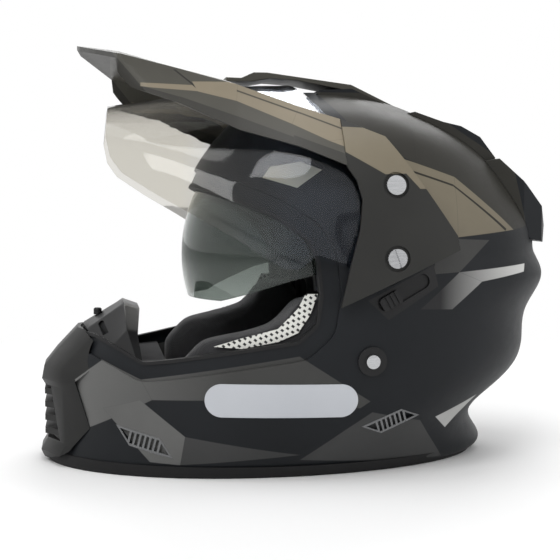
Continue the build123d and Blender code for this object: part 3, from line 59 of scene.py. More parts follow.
# %% Wires
class Wire:
    """One socket of a finish, with arithmetic."""

    def __init__(self, finish, socket):
        self.finish = finish
        self.socket = socket

    def sum_of(self, operation, first, second=None):
        values = {0: first} if second is None else {0: first, 1: second}
        return self.finish.node("ShaderNodeMath", values, operation=operation)

    def __add__(self, other):
        return self.sum_of("ADD", self, other)

    def __radd__(self, other):
        return self.sum_of("ADD", other, self)

    def __sub__(self, other):
        return self.sum_of("SUBTRACT", self, other)

    def __rsub__(self, other):
        return self.sum_of("SUBTRACT", other, self)

    def __mul__(self, other):
        return self.sum_of("MULTIPLY", self, other)

    def __rmul__(self, other):
        return self.sum_of("MULTIPLY", other, self)

    def most(self, other):
        return self.sum_of("MAXIMUM", self, other)

    def least(self, other):
        return self.sum_of("MINIMUM", self, other)

    def size(self):
        return self.sum_of("ABSOLUTE", self)

    def floor(self):
        return self.sum_of("FLOOR", self)

    def root(self):
        return self.sum_of("SQRT", self)

    def wave(self):
        return self.sum_of("SINE", self)

    def wrapped(self, period):
        return self.sum_of("FLOORED_MODULO", self, period)

    def clamped(self):
        return self.finish.node("ShaderNodeClamp", {0: self})

    def swing(self, amount):
        """Noise around 0.5 as a change of so much either way around 0."""
        return (self - 0.5) * amount


print("sums on a wire", sorted(name for name in vars(Wire) if not name.startswith("_")))

# %% [markdown]
# A finish is one material with its shader and its coordinates. Every node that isn't a sum
# comes from one method, which takes the node's type, its settings, and the values or wires
# of its sockets. Noise, colour mixes and bumps are used on nearly every piece, so they get
# short methods of their own. A colour is written as it looks on a screen, and a helper turns
# it into the shader's light values.

# %% Finishes
class Finish:
    """A material with its shader, its coordinates and one way to make a node."""

    def __init__(self, name):
        self.material = bpy.data.materials.new(name)
        self.material.use_nodes = True
        self.tree = self.material.node_tree
        self.shader = self.tree.nodes["Principled BSDF"]
        self.place = self.node("ShaderNodeTexCoord", {}, out="Object")

    def node(self, kind, values, out=0, **settings):
        made = self.tree.nodes.new(kind)
        for key, value in settings.items():
            setattr(made, key, value)
        for key, value in values.items():
            self.feed(made.inputs[key], value)
        return Wire(self, made.outputs[out])

    def feed(self, socket, value):
        if isinstance(value, Wire):
            self.tree.links.new(value.socket, socket)
        elif socket.type == "RGBA" and len(value) == 3:
            socket.default_value = (*value, 1)
        else:
            socket.default_value = value

    def set(self, **values):
        for key, value in values.items():
            name = key.replace("_", " ").title().replace("Ior", "IOR")
            self.feed(self.shader.inputs[name], value)
        return self

    def axes(self):
        """The wires of X, Y and Z in millimetres."""
        grown = self.node("ShaderNodeVectorMath", {0: self.place, 1: (1 / MM,) * 3},
                          operation="MULTIPLY")
        return [self.node("ShaderNodeSeparateXYZ", {0: grown}, out=axis) for axis in range(3)]

    def cloud(self, scale, detail=3.0, roughness=0.55, stretch=(1, 1, 1)):
        """Soft noise around 0.5, at so many blots a metre."""
        spread = self.node("ShaderNodeMapping", {"Vector": self.place, "Scale": stretch})
        values = {"Vector": spread, "Scale": scale, "Detail": detail, "Roughness": roughness}
        return self.node("ShaderNodeTexNoise", values, out="Fac")

    def mix(self, mask, first, second):
        """Colour that goes from the first to the second as the mask goes from 0 to 1."""
        return self.node("ShaderNodeMix", {0: mask, 6: first, 7: second}, out=2, data_type="RGBA")

    def bump(self, height, strength, depth=0.2 * MM):
        return self.node("ShaderNodeBump",
                         {"Height": height, "Strength": strength, "Distance": depth})


def linear(red, green, blue):
    """A screen colour, 0 to 255, as the shader's own light values."""
    return tuple((v / 255 / 12.92) if v < 11 else ((v / 255 + 0.055) / 1.055) ** 2.4
                 for v in (red, green, blue))


def shades(colour, low, high):
    """A darker and a lighter version of a colour."""
    return tuple(v * low for v in colour), tuple(min(1.0, v * high) for v in colour)


print("mid grey as light", round(linear(75, 75, 75)[0], 3))

# %% [markdown]
# Painted panels follow straight edges seen from the side. A corner list becomes a mask:
# each edge is a line in X and Z, and a point is inside when it lies on the same side of
# every edge. Clamping a steep slope gives a crisp border without a picture, and a panel
# that isn't convex is written as two or three that are.

# %% Masks from corner lists
BORDER = 0.35    # millimetres over which a painted border fades


def side_of(x, z, first, second):
    """1 on the right-hand side of the edge from the first corner to the second."""
    dx, dz = second[0] - first[0], second[1] - first[1]
    length = math.hypot(dx, dz)
    away = (x - first[0]) * (dz / length) - (z - first[1]) * (dx / length)
    return (away * (1 / BORDER) + 0.5).clamped()


def panel(x, z, corners):
    """Mask of a convex panel, with its corners listed clockwise in the side view."""
    mask = None
    for first, second in zip(corners, corners[1:] + corners[:1]):
        edge = side_of(x, z, first, second)
        mask = edge if mask is None else mask.least(edge)
    return mask


def panels(x, z, groups):
    """Mask of several convex panels together."""
    mask = None
    for corners in groups:
        one = panel(x, z, corners)
        mask = one if mask is None else mask.most(one)
    return mask


print("painted borders fade over", BORDER, "mm")

# %% [markdown]
# Moulded plastic is never one flat colour: the black drifts a little, the gloss is uneven
# where hands have rubbed it, and a fine grain breaks up the highlight. One function gives
# that base, and each moulding gets its own colour, gloss and grain.

# %% Moulded plastics
BLOT_GLOSS = 0.10     # how far the gloss follows the drift of the colour
SCUFF_GLOSS = 0.14    # how far rubbed patches change it
COLOUR_DRIFT = 0.25   # how far the colour drifts, as a share


def moulded(name, colour, gloss, grain=0.10, pitch=2600.0, coat=0.0):
    """A moulded plastic of a colour, with its roughness, grain and clear coat."""
    made = Finish(name)
    blots = made.cloud(scale=18.0, detail=4.0)
    fine = made.cloud(scale=pitch, detail=2.0)
    scuffs = made.cloud(scale=90.0, detail=6.0, roughness=0.7, stretch=(1, 1, 0.35))
    dark, light = shades(colour, 1 - COLOUR_DRIFT, 1 + COLOUR_DRIFT)
    uneven = gloss + blots.swing(BLOT_GLOSS) + scuffs.swing(SCUFF_GLOSS)
    made.set(base_color=made.mix(blots, dark, light), roughness=uneven.clamped(),
             normal=made.bump(fine, strength=grain), specular_ior_level=0.25)
    if coat:
        made.set(coat_weight=coat, coat_roughness=0.12)
    return made


finishes = {
    "trim_black": moulded("trim_black", linear(22, 22, 23), gloss=0.36),
    "foam_grey": moulded("foam_grey", linear(46, 46, 48), gloss=0.85, grain=0.6, pitch=420.0),
    "rubber_trim": moulded("rubber_trim", linear(20, 20, 21), gloss=0.62, grain=0.18),
    "lever_red": moulded("lever_red", linear(150, 30, 28), gloss=0.30),
    "grille_silver": moulded("grille_silver", linear(104, 105, 106), gloss=0.36, coat=0.2),
}
print("plastics", sorted(finishes))

# %% [markdown]
# The shell and the parts that carry on its graphic are painted: panels lie one over the
# other on a base colour. A layer is a list of corner lists and two shades, which either
# drift like the plastic or fade along X from one to the other. The panels could be cut into
# the mesh as separate faces, but a mask keeps the shell in one smooth piece.

# %% Paint in layers
PAINT_SCUFF = 0.16    # how far rubbed patches change the gloss of paint


def painted(name, dark, light, gloss, layers, grain=3200.0, shine=0.2):
    """A base colour with layers of panels, each with its corners, two shades and a fade."""
    made = Finish(name)
    x, _, z = made.axes()
    blots = made.cloud(scale=16.0, detail=4.0)
    paint = made.mix(blots, dark, light)
    for groups, low, high, fade in layers:
        drift = blots
        if fade:
            start, end = fade
            drift = ((x - start) * (1 / (end - start))).clamped()
        paint = made.mix(panels(x, z, groups), paint, made.mix(drift, low, high))
    scuffs = made.cloud(scale=80.0, detail=6.0, roughness=0.7)
    uneven = gloss + scuffs.swing(PAINT_SCUFF)
    fine = made.cloud(scale=grain, detail=2.0)
    made.set(base_color=paint, roughness=uneven.clamped(), specular_ior_level=shine,
             normal=made.bump(fine, strength=0.08))
    return made


print("paint scuffs", PAINT_SCUFF)

# %% [markdown]
# The shell is matt black with satin grey panels along the chin bar, a khaki panel on the
# rear shoulder, and a silver stripe behind the pod whose fade from dark to bright is a painted
# highlight. The corners were measured on the real object and are given in millimetres, so the
# paint stays put as the helmet is turned.

# %% Panels of the shell
CHIN_GREYS = [
    [(-164.0, 63.4), (-145.2, 78.2), (-119.4, 67.0), (-112.3, 54.0), (-153.9, 30.4)],
    [(-119.4, 67.0), (-16.1, 85.1), (3.7, 72.3), (-48.7, 56.2), (-112.3, 54.0)],
    [(-16.1, 85.1), (3.7, 72.3), (34.7, 56.5), (24.7, 49.8), (-48.7, 56.2)],
]
JAW_GREYS = [
    [(-144.9, 45.4), (-120.2, 53.4), (-90.8, 29.7), (-93.9, 9.6), (-113.8, 10.8)],
    [(-90.8, 29.7), (-14.1, 17.0), (-93.9, 9.6)],
    [(15.4, 34.5), (33.4, 46.6), (71.1, 37.1), (96.5, 4.0), (-13.7, 13.1)],
]
JAW_TIPS = JAW_GREYS[:1]
KHAKIS = [
    [(50.0, 219.0), (66.9, 213.5), (94.9, 204.5), (93.0, 163.5), (60.0, 178.0), (45.0, 205.0)],
    [(94.9, 204.5), (142.9, 167.6), (93.0, 163.5)],
]
CROWNS = [
    [(10.0, 266.0), (70.0, 266.0), (66.9, 213.5), (30.0, 230.0)],
    [(70.0, 266.0), (150.0, 215.0), (94.9, 204.5), (66.9, 213.5)],
    [(94.9, 204.5), (150.0, 215.0), (160.0, 170.0), (142.9, 167.6)],
]
KHAKI_LINES = [
    [(53.3, 211.6), (93.1, 199.2), (93.1, 197.8), (53.3, 210.2)],
    [(93.1, 199.2), (135.5, 168.4), (134.3, 167.0), (93.1, 197.8)],
]
REAR_GREYS = [
    [(80.0, 163.0), (140.0, 160.0), (156.0, 154.0), (155.0, 143.0), (94.0, 140.0), (68.0, 118.0)],
]
# A silver stripe; its fade from dark to bright along X is a painted highlight.
SILVER_STRIPES_HIGHLIT = [
    [(65.4, 115.7), (94.1, 139.9), (112.2, 132.9), (89.0, 114.9)],
    [(94.1, 139.9), (153.5, 143.4), (151.8, 137.8), (112.2, 132.9)],
]
NAPES = [[(84.1, 37.8), (119.8, 49.5), (112.0, 40.0), (96.0, 27.0)]]
FOREHEADS = [[(-36.0, 203.5), (-30.5, 211.0), (-11.3, 214.3), (2.2, 208.7), (-14.6, 196.6)]]
SHELL_LAYERS = [
    (CHIN_GREYS, linear(100, 100, 99), linear(62, 62, 61), (-160.0, -60.0)),
    (JAW_GREYS, linear(50, 51, 51), linear(68, 68, 68), None),
    (JAW_TIPS, linear(84, 84, 83), linear(104, 104, 103), None),
    (CROWNS, linear(40, 39, 36), linear(52, 51, 47), None),
    (KHAKIS, linear(96, 90, 77), linear(122, 115, 100), None),
    (KHAKI_LINES, linear(34, 33, 30), linear(40, 38, 34), None),
    (REAR_GREYS, linear(52, 52, 51), linear(68, 68, 67), None),
    (SILVER_STRIPES_HIGHLIT, linear(40, 40, 41), linear(198, 198, 196), (80.0, 150.0)),
    (NAPES, linear(160, 160, 158), linear(180, 180, 178), None),
    (FOREHEADS, linear(168, 160, 138), linear(198, 190, 168), None),
]
print("layers on the shell", len(SHELL_LAYERS))

# %% [markdown]
# The mouth guard sits in the front of the shell and carries on its first three layers, over
# a base that is a little browner and rougher than the shell's.

# %% Paint of the shell and the mouth guard
finishes["shell_black"] = painted("shell_black", linear(20, 22, 24), linear(31, 33, 36),
                                  gloss=0.46, layers=SHELL_LAYERS, shine=0.14)
finishes["guard_black"] = painted("guard_paint", linear(26, 26, 26), linear(38, 38, 37),
                                  gloss=0.46, layers=SHELL_LAYERS[:3], grain=2400.0)
print("nodes in the shell's paint", len(finishes["shell_black"].tree.nodes))

# %% [markdown]
# The peak has olive grey sides whose lower part is darkened with painted shade, and a
# sand-coloured band that runs back along each arm and on to the pods behind it. A thin dark
# line runs along the band, and painted shade marks a crease behind the tip.

# %% Panels of the peak and the pods
SANDS = [
    [(-118.3, 266.3), (-84.1, 265.0), (-79.3, 260.8), (-109.9, 262.9), (-118.3, 263.9)],
    [(-84.0, 267.5), (-52.9, 268.0), (-54.8, 254.6), (-80.5, 260.7)],
    [(-52.9, 268.0), (-11.3, 253.5), (-19.1, 239.0), (-54.8, 254.6)],
    [(-11.3, 253.5), (12.7, 247.7), (41.8, 232.0), (4.2, 227.7), (-19.1, 239.0)],
    [(41.8, 232.0), (46.0, 227.0), (68.0, 213.0), (68.1, 205.5), (56.0, 209.0), (32.1, 216.7),
     (4.2, 227.7)],
]
# Painted shade: the lower part of the peak's sides is darkened.
PEAK_SHADED_SIDES = [
    [(-160.0, 276.0), (-117.3, 263.9), (-92.7, 258.6), (-92.7, 235.0), (-160.0, 250.0)],
    [(-92.7, 258.6), (-54.1, 243.6), (-19.1, 231.3), (-19.1, 205.0), (-92.7, 235.0)],
    [(-19.1, 231.3), (12.9, 219.5), (30.0, 205.0), (30.0, 150.0), (-19.1, 205.0)],
]
SAND_LINES = [
    [(-54.1, 262.4), (-11.3, 246.9), (-11.3, 245.7), (-54.1, 261.2)],
    [(-11.3, 246.9), (41.8, 225.4), (41.8, 224.2), (-11.3, 245.7)],
]
POD_SANDS = [
    [(0.0, 238.0), (41.8, 236.0), (56.0, 216.0), (54.0, 206.0), (39.0, 205.5), (4.0, 226.0)],
    [(52.0, 220.0), (56.0, 216.0), (68.0, 196.0), (62.0, 196.0), (52.0, 207.0)],
]
PEAK_TIPS = [
    [(-165.0, 300.0), (-137.0, 300.0), (-135.7, 285.7), (-165.0, 285.7)],
    [(-165.0, 285.7), (-135.7, 285.7), (-116.6, 262.6), (-116.6, 250.0), (-165.0, 250.0)],
]
# Painted shade in the crease behind the tip.
PEAK_CREASE_SHADES = [[(-96.4, 275.6), (-94.8, 275.6), (-79.4, 262.7), (-81.0, 262.7)]]
PEAK_LAYERS = [
    (PEAK_SHADED_SIDES, linear(44, 43, 40), linear(56, 55, 51), None),
    (PEAK_TIPS, linear(42, 41, 38), linear(54, 53, 49), None),
    (PEAK_CREASE_SHADES, linear(34, 33, 30), linear(38, 37, 34), None),
    (SANDS, linear(112, 104, 88), linear(140, 130, 112), None),
    (SAND_LINES, linear(60, 57, 50), linear(66, 62, 54), None),
]
POD_LAYERS = [(POD_SANDS, linear(104, 97, 82), linear(128, 120, 104), None)]
peak_paint = painted("peak_paint", linear(60, 59, 54), linear(80, 78, 71),
                     gloss=0.36, layers=PEAK_LAYERS, grain=3000.0)
finishes["peak_olive"] = peak_paint
finishes["pod_black"] = painted("pod_paint", linear(34, 34, 33), linear(46, 46, 44),
                                gloss=0.42, layers=POD_LAYERS)
print("layers on the peak", len(PEAK_LAYERS), "and on a pod", len(POD_LAYERS))

# %% [markdown]
# The top of the peak has its own graphic: a silver blade on each side of the middle, with a
# dark border, seen from above. It is drawn in X and the distance from the middle, so both
# halves match, and the upward part of the surface normal keeps it off the underside.

# %% Graphic on top of the peak
TOP_BORDERS = [[(-134.0, 0.0), (-126.0, 34.0), (-104.0, 66.0), (-34.0, 30.0), (-34.0, 0.0)]]
TOP_BLADES = [[(-118.0, 14.0), (-101.0, 56.0), (-38.0, 22.0), (-38.0, 9.0)]]
TOP_FROM = 0.45       # upward part of the normal at which the graphic starts
TOP_SHARPNESS = 8.0

top_x, top_y, _ = peak_paint.axes()
facing = peak_paint.node("ShaderNodeNewGeometry", {}, out="Normal")
upward = peak_paint.node("ShaderNodeSeparateXYZ", {0: facing}, out=2)
on_top = ((upward - TOP_FROM) * TOP_SHARPNESS).clamped()
side_paint = Wire(peak_paint, peak_paint.shader.inputs["Base Color"].links[0].from_socket)
border = panels(top_x, top_y.size(), TOP_BORDERS) * on_top
blade = panels(top_x, top_y.size(), TOP_BLADES) * on_top
top_paint = peak_paint.mix(border, side_paint, linear(42, 42, 40))
silver = peak_paint.mix(peak_paint.cloud(scale=20.0), linear(186, 188, 186), linear(214, 214, 210))
peak_paint.set(base_color=peak_paint.mix(blade, top_paint, silver))
print("nodes in the peak's paint", len(peak_paint.tree.nodes))

# %% [markdown]
# The heads of the screws and rivets are brushed steel: fine lines, stretched along one
# axis, change both the colour and the gloss. The patches on the chin bar are glass-bead
# sheet, whose beads show as a very fine grain, with a clear film over them.

# %% Metals and reflective sheet
STEEL = linear(190, 191, 193)
STEEL_GLOSS = 0.26
SHEET_GLOSS = 0.30
BEADS = 1500.0        # beads a metre

steel = Finish("steel")
lines = steel.cloud(scale=420.0, detail=4.0, stretch=(0.2, 1, 3.0))
steel.set(base_color=steel.mix(lines, *shades(STEEL, low=0.72, high=1.0)), metallic=1.0,
          roughness=(STEEL_GLOSS + lines.swing(0.2)).clamped(),
          normal=steel.bump(lines, strength=0.05, depth=0.1 * MM))
finishes["steel"] = steel

sheet = Finish("reflective_sheet")
beads = sheet.node("ShaderNodeTexVoronoi", {"Vector": sheet.place, "Scale": BEADS},
                   out="Distance")
film = sheet.cloud(scale=12.0)
sheet.set(base_color=sheet.mix(film, linear(168, 171, 177), linear(190, 193, 198)),
          roughness=(SHEET_GLOSS + beads * 0.25).clamped(), metallic=0.25,
          normal=sheet.bump(beads, strength=0.10), coat_weight=0.25)
finishes["reflective_silver"] = sheet
print("metals", [made.material.name for made in (steel, sheet)])

# %% [markdown]
# The face shield is clear moulded sheet. Light passes through it twice, once for each
# face, so even a slight tint shows: a warm grey at the front. Towards the pods it turns cool,
# a painted blue reflection, and where the sheet is seen nearly edge-on it darkens, a painted
# dark reflection. The sun visor is smoked: its green-grey takes most of the light. Both are
# real glass shaders, so that reflections and the white room show in them from any side.

# %% Clear and smoked shields
# The cool blue that the shield turns towards the pods is a painted reflection.
WARM = (0.79, 0.775, 0.735)
REFLECTED_BLUE = (0.70, 0.75, 0.84)
# The darkening where the sheet is seen nearly edge-on is a painted dark reflection.
EDGE_DARK_REFLECTION = (0.20, 0.19, 0.18)
SMOKE_DARK = (0.20, 0.235, 0.215)
SMOKE_LIGHT = (0.24, 0.275, 0.25)
SMEAR_GLOSS = 0.03    # how much smears roughen either shield
REFLECTED_BLUE_FROM = -78.0     # millimetres from the middle, where the tint starts to turn
REFLECTED_BLUE_OVER = 60.0

clear = Finish("clear_shield")
clear_x = clear.axes()[0]
smears = clear.cloud(scale=26.0, detail=5.0, stretch=(1, 1, 0.5))
turned = ((clear_x - REFLECTED_BLUE_FROM) * (1 / REFLECTED_BLUE_OVER)).clamped()
edge_on = clear.node("ShaderNodeLayerWeight", {"Blend": 0.5}, out="Facing")
# The base colour carries the painted reflections: blue towards the pods, dark where the sheet is
# edge-on.
tint = clear.mix(edge_on * edge_on * edge_on, clear.mix(turned, WARM, REFLECTED_BLUE), EDGE_DARK_REFLECTION)
clear.set(base_color=tint, transmission_weight=1.0, ior=1.3,
          roughness=(0.01 + smears * SMEAR_GLOSS).clamped())
finishes["clear_shield"] = clear

smoked = Finish("smoked_lens")
smoke = smoked.cloud(scale=20.0)
smoked.set(base_color=smoked.mix(smoke, SMOKE_DARK, SMOKE_LIGHT), transmission_weight=0.9,
           ior=1.38, roughness=(0.02 + smoke * SMEAR_GLOSS).clamped())
finishes["smoked_lens"] = smoked
print("shields", [made.material.name for made in (clear, smoked)])

# %% [markdown]
# The pads wear a brushed knit, whose loops are two crossed sets of waves, and the chin
# strap is the same weave at a tighter pitch. A woven pattern could follow a UV map, but the
# remesh of a cushion loses that, so the loops are drawn in millimetres of space.

# %% Knit and webbing
def knit(name, colour, pitch, depth):
    """A cloth of crossed waves, with a pitch in millimetres and a depth in metres."""
    made = Finish(name)
    x, y, z = made.axes()
    turn = math.tau / pitch
    loops = ((x + y) * turn).wave() * ((z - y) * turn).wave()
    fluff = made.cloud(scale=240.0, detail=5.0)
    made.set(base_color=made.mix(fluff, *shades(colour, low=0.6, high=1.5)), roughness=0.9,
             sheen_weight=0.25, normal=made.bump(loops + fluff, strength=0.5, depth=depth))
    return made


finishes["lining_fabric"] = knit("lining_fabric", linear(34, 34, 36), pitch=1.5, depth=0.3 * MM)
finishes["strap_black"] = knit("strap_black", linear(26, 26, 28), pitch=1.1, depth=0.4 * MM)
print("knits", [name for name in finishes if name in ("lining_fabric", "strap_black")])

# %% [markdown]
# The strip at the edge of the pads is white spacer mesh. Its small holes stand in rows,
# each row shifted by half a step against the one before. The distance to the nearest
# middle of a hole, along and across the rows, gives the mask and the bump.

# %% Spacer mesh
ROW_STEP = 3.2        # millimetres from one row of holes to the next
HOLE_STEP = 4.0       # millimetres from hole to hole in a row
HOLE_HALF = 0.86
HOLE_SHARPNESS = 6.0
HOLE_STRETCH = 0.8    # holes are longer along the row
ALONG, ACROSS = 0.8, 0.6    # the rows' direction in the side view

strip = Finish("strip_white")
strip_x, _, strip_z = strip.axes()
row = strip_z * ALONG + strip_x * ACROSS
along = strip_x * ALONG - strip_z * ACROSS
shifted = along + (row * (1 / ROW_STEP)).floor() * (HOLE_STEP / 2)
hole_across = (row.wrapped(ROW_STEP) - ROW_STEP / 2).size()
hole_along = (shifted.wrapped(HOLE_STEP) - HOLE_STEP / 2).size()
holes = ((HOLE_HALF - hole_across.most(hole_along * HOLE_STRETCH)) * HOLE_SHARPNESS).clamped()
strip.set(base_color=strip.mix(holes, linear(222, 222, 216), linear(40, 40, 40)), roughness=0.8,
          normal=strip.bump(1 - holes, strength=0.8, depth=0.6 * MM))
finishes["strip_white"] = strip
print("finishes", len(finishes))

# %% [markdown]
# A packed node is a cloud of loose triangles, so it shades in facets. A copy is welded,
# shaded smooth where its faces meet at a shallow angle, and given a hair of a bevel on its
# sharp edges, because a real moulding never has a knife edge. The copy then stands for
# the node.

# %% Welding and placing a copy
WELD = 0.002 * MM     # points closer than this are one
slots = {entry["node"]: entry["material_slot"] for entry in record["subparts"]}
bodies = {node: body for body, members in record["behaviour"]["bodies"].items()
          for node in members}


def welded(node):
    """A copy of a node's mesh with its doubles merged."""
    work = bmesh.new()
    work.from_mesh(nodes[node].data)
    bmesh.ops.remove_doubles(work, verts=work.verts, dist=WELD)
    bmesh.ops.dissolve_degenerate(work, edges=work.edges, dist=WELD / 2)
    return work


def placed(name, work, node):
    """An object from a bmesh, on the body and in the finish of a node."""
    mesh = bpy.data.meshes.new(name)
    work.to_mesh(mesh)
    work.free()
    piece = bpy.data.objects.new(name, mesh)
    scene.collection.objects.link(piece)
    mesh.materials.append(finishes[slots[node]].material)
    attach(piece, bodies[node])
    return piece


# %% [markdown]
# Shading is set edge by edge: every face is smooth, and an edge is marked sharp where its
# two faces turn by more than the limit. The bevel is a modifier that works on the same
# sharp edges, and it is as wide as the radius left by a mould, well under a millimetre.

# %% Dressing the rigid solids
SMOOTH_BELOW = math.radians(32)
BEVEL_ABOVE = math.radians(40)
SOFT_NODES = ["cheek_pad_left", "cheek_pad_right", "neck_roll", "comfort_lining",
              "chin_strap_left", "chin_strap_right"]
BEVELS = {"visor_peak": 0.6, "face_shield": 0.6, "sun_visor": 0.5, "side_pod_left": 0.5,
          "side_pod_right": 0.5, "rear_tail": 0.8, "buckle_body": 0.4, "crown_block": 0.8,
          "peak_bridge": 0.8, "rear_exhaust": 0.8}


def shade(piece):
    """Smooth shading, kept crisp where faces meet at more than an angle."""
    work = bmesh.new()
    work.from_mesh(piece.data)
    for face in work.faces:
        face.smooth = True
    for edge in work.edges:
        edge.smooth = len(edge.link_faces) == 2 and edge.calc_face_angle(0.0) < SMOOTH_BELOW
    work.to_mesh(piece.data)
    work.free()


def dressed(node, bevel):
    """A node's copy in its finish, with a bevel of so many millimetres."""
    piece = placed(node + "_skin", welded(node), node)
    shade(piece)
    if bevel:
        edge = piece.modifiers.new("soft_edges", "BEVEL")
        edge.width = bevel * MM
        edge.segments = 2
        edge.limit_method = "ANGLE"
        edge.angle_limit = BEVEL_ABOVE
        edge.harden_normals = True
    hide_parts(node)


rigid_nodes = [node for node in sorted(nodes) if node not in SOFT_NODES]
for node in rigid_nodes:
    dressed(node, BEVELS.get(node, 0.0))
print("dressed", len(rigid_nodes), "with a bevel", len(BEVELS))

# %% [markdown]
# A modifier's result becomes plain mesh by copying the evaluated object. Both the remesh
# and the cloth of a cushion are applied this way, so nothing live is left on it that would
# need a simulation later.

# %% Applying modifiers
def bake(piece):
    """Applies the live modifiers to the mesh."""
    bpy.context.view_layer.update()
    graph = bpy.context.evaluated_depsgraph_get()
    mesh = bpy.data.meshes.new_from_object(piece.evaluated_get(graph))
    piece.modifiers.clear()
    old = piece.data
    piece.data = mesh
    bpy.data.meshes.remove(old)


print("simulation", "on")

# %% [markdown]
# Cheek pads, neck roll and lining are foam in knitted covers. Each starts as the space
# its solid holds, remeshed to even faces and drawn in a little, and an inflated cloth
# simulation swells it until the cover is taut, which gives the soft crown and the drawn-in
# corners of a sewn cushion. A cap on how far a point moves keeps it in its space.

# %% Sewn cushions
ROUND_PASSES = 10
SWELL_STEPS = 15


def cushion(node, voxel, drawn, cap, pressure=4.0):
    """A padded piece, drawn in and swelled again. Sizes are in millimetres."""
    piece = placed(node + "_cushion", welded(node), node)
    remesh = piece.modifiers.new("even_mesh", "REMESH")
    remesh.mode = "VOXEL"
    remesh.voxel_size = voxel * MM
    smooth = piece.modifiers.new("round_off", "SMOOTH")
    smooth.factor = 0.5
    smooth.iterations = ROUND_PASSES
    bake(piece)
    normals = [vertex.normal.copy() for vertex in piece.data.vertices]
    for vertex, outward in zip(piece.data.vertices, normals):
        vertex.co -= outward * (drawn * MM)
    swell(piece, cap * MM, pressure)
    even = piece.modifiers.new("even_cover", "SUBSURF")
    even.levels = even.render_levels = 1
    for face in piece.data.polygons:
        face.use_smooth = True
    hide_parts(node)
    return piece


def swell(piece, cap, pressure):
    """Inflates a piece as cloth, with no point moved by more than the cap."""
    starts = [vertex.co.copy() for vertex in piece.data.vertices]
    cloth = piece.modifiers.new("swell", "CLOTH")
    cloth.settings.use_pressure = True
    cloth.settings.uniform_pressure_force = pressure
    cloth.settings.effector_weights.gravity = 0
    for step in range(1, SWELL_STEPS + 1):
        scene.frame_set(step)
    bake(piece)
    for vertex, start in zip(piece.data.vertices, starts):
        shift = vertex.co - start
        if shift.length > cap:
            vertex.co = start + shift.normalized() * cap
    scene.frame_set(1)


cushions = [cushion(node, voxel=4, drawn=2.2, cap=2)
            for node in ("cheek_pad_left", "cheek_pad_right")]
cushions.append(cushion("neck_roll", voxel=5, drawn=2, cap=2.5))
cushions.append(cushion("comfort_lining", voxel=4, drawn=0.8, cap=1.2, pressure=1.0))
print("cushions", {piece.name: len(piece.data.polygons) for piece in cushions})

# %% [markdown]
# The chin strap is woven tape, too thin and flat for a cloth remesh. A row of edges as wide
# as the tape is extruded from point to point along its run, from the rivet down the inside
# of the shell and across to the buckle. Solidify gives it its thickness, and subdivision
# rounds the bends.

# %% Chin straps
STRAP_MIDDLE = 32.0
STRAP_HALF = 10.0
STRAP_WALL = 1.5
STRAP_SHARES = (-1, -0.9, -0.4, 0.4, 0.9, 1)    # points across the tape, closer at its edges
STRAP_RUN = [    # distance from the middle of the helmet, and height
    (113.4, 93.0), (113.4, 84.0), (113.4, 72.0), (111.9, 64.0), (110.3, 56.0), (106.1, 46.0),
    (101.9, 36.0), (96.0, 30.9), (88.0, 24.6), (80.0, 24.0), (62.0, 24.0), (44.0, 24.0),
    (26.0, 24.0),
]


def tape(side, node):
    """Woven tape along the run, on the left (-1) or the right (1)."""
    work = bmesh.new()
    out, high = STRAP_RUN[0]
    ring = [work.verts.new(((STRAP_MIDDLE + STRAP_HALF * share) * MM, out * side * MM, high * MM))
            for share in STRAP_SHARES]
    row = [work.edges.new(pair) for pair in zip(ring, ring[1:])]
    for before, after in zip(STRAP_RUN, STRAP_RUN[1:]):
        grown = bmesh.ops.extrude_edge_only(work, edges=row)["geom"]
        moved = [part for part in grown if isinstance(part, bmesh.types.BMVert)]
        row = [part for part in grown if isinstance(part, bmesh.types.BMEdge)
               and part.verts[0] in moved and part.verts[1] in moved]
        step = Vector((0, (after[0] - before[0]) * side, after[1] - before[1])) * MM
        bmesh.ops.translate(work, verts=moved, vec=step)
    bmesh.ops.recalc_face_normals(work, faces=work.faces)
    piece = placed(node + "_tape", work, node)
    wall = piece.modifiers.new("tape_wall", "SOLIDIFY")
    wall.thickness = STRAP_WALL * MM
    wall.offset = 0
    smooth = piece.modifiers.new("soft_bends", "SUBSURF")
    smooth.levels = smooth.render_levels = 2
    for face in piece.data.polygons:
        face.use_smooth = True
    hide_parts(node)


tape(-1, "chin_strap_left")
tape(1, "chin_strap_right")
print("tape", len(STRAP_RUN), "points a side")

# %% [markdown]
# The room is a plain pale floor under a white sky. The floor keeps the soft shadow close to
# the helmet, and further out the camera sees it fade to plain white, so that no horizon
# shows. The fade is only for the camera's rays, so it adds no light to the helmet.

# %% Floor
FLOOR_REACH = 30.0
FLOOR_DROP = 0.2 * MM
FADE_FROM = 330.0     # millimetres from the middle of the helmet
FADE_OVER = 420.0

floor_mesh = bmesh.new()
bmesh.ops.create_grid(floor_mesh, x_segments=2, y_segments=2, size=FLOOR_REACH)
floor_data = bpy.data.meshes.new("floor")
floor_mesh.to_mesh(floor_data)
floor_mesh.free()
floor = bpy.data.objects.new("floor", floor_data)
floor.location.z = -FLOOR_DROP
scene.collection.objects.link(floor)

floor_finish = Finish("floor_white")
floor_finish.set(base_color=(0.93, 0.93, 0.93), roughness=0.8)
floor_x, floor_y, _ = floor_finish.axes()
faded = ((floor_x * floor_x + floor_y * floor_y).root() - FADE_FROM) * (1 / FADE_OVER)
to_camera = floor_finish.node("ShaderNodeLightPath", {}, out="Is Camera Ray")
glow = floor_finish.node("ShaderNodeEmission", {"Color": (1, 1, 1), "Strength": 1.0})
plain = Wire(floor_finish, floor_finish.shader.outputs[0])
blend = floor_finish.node("ShaderNodeMixShader", {0: faded.clamped() * to_camera, 1: plain, 2: glow})
floor_finish.feed(floor_finish.tree.nodes["Material Output"].inputs["Surface"], blend)
floor_data.materials.append(floor_finish.material)
print("floor", 2 * FLOOR_REACH, "m across")

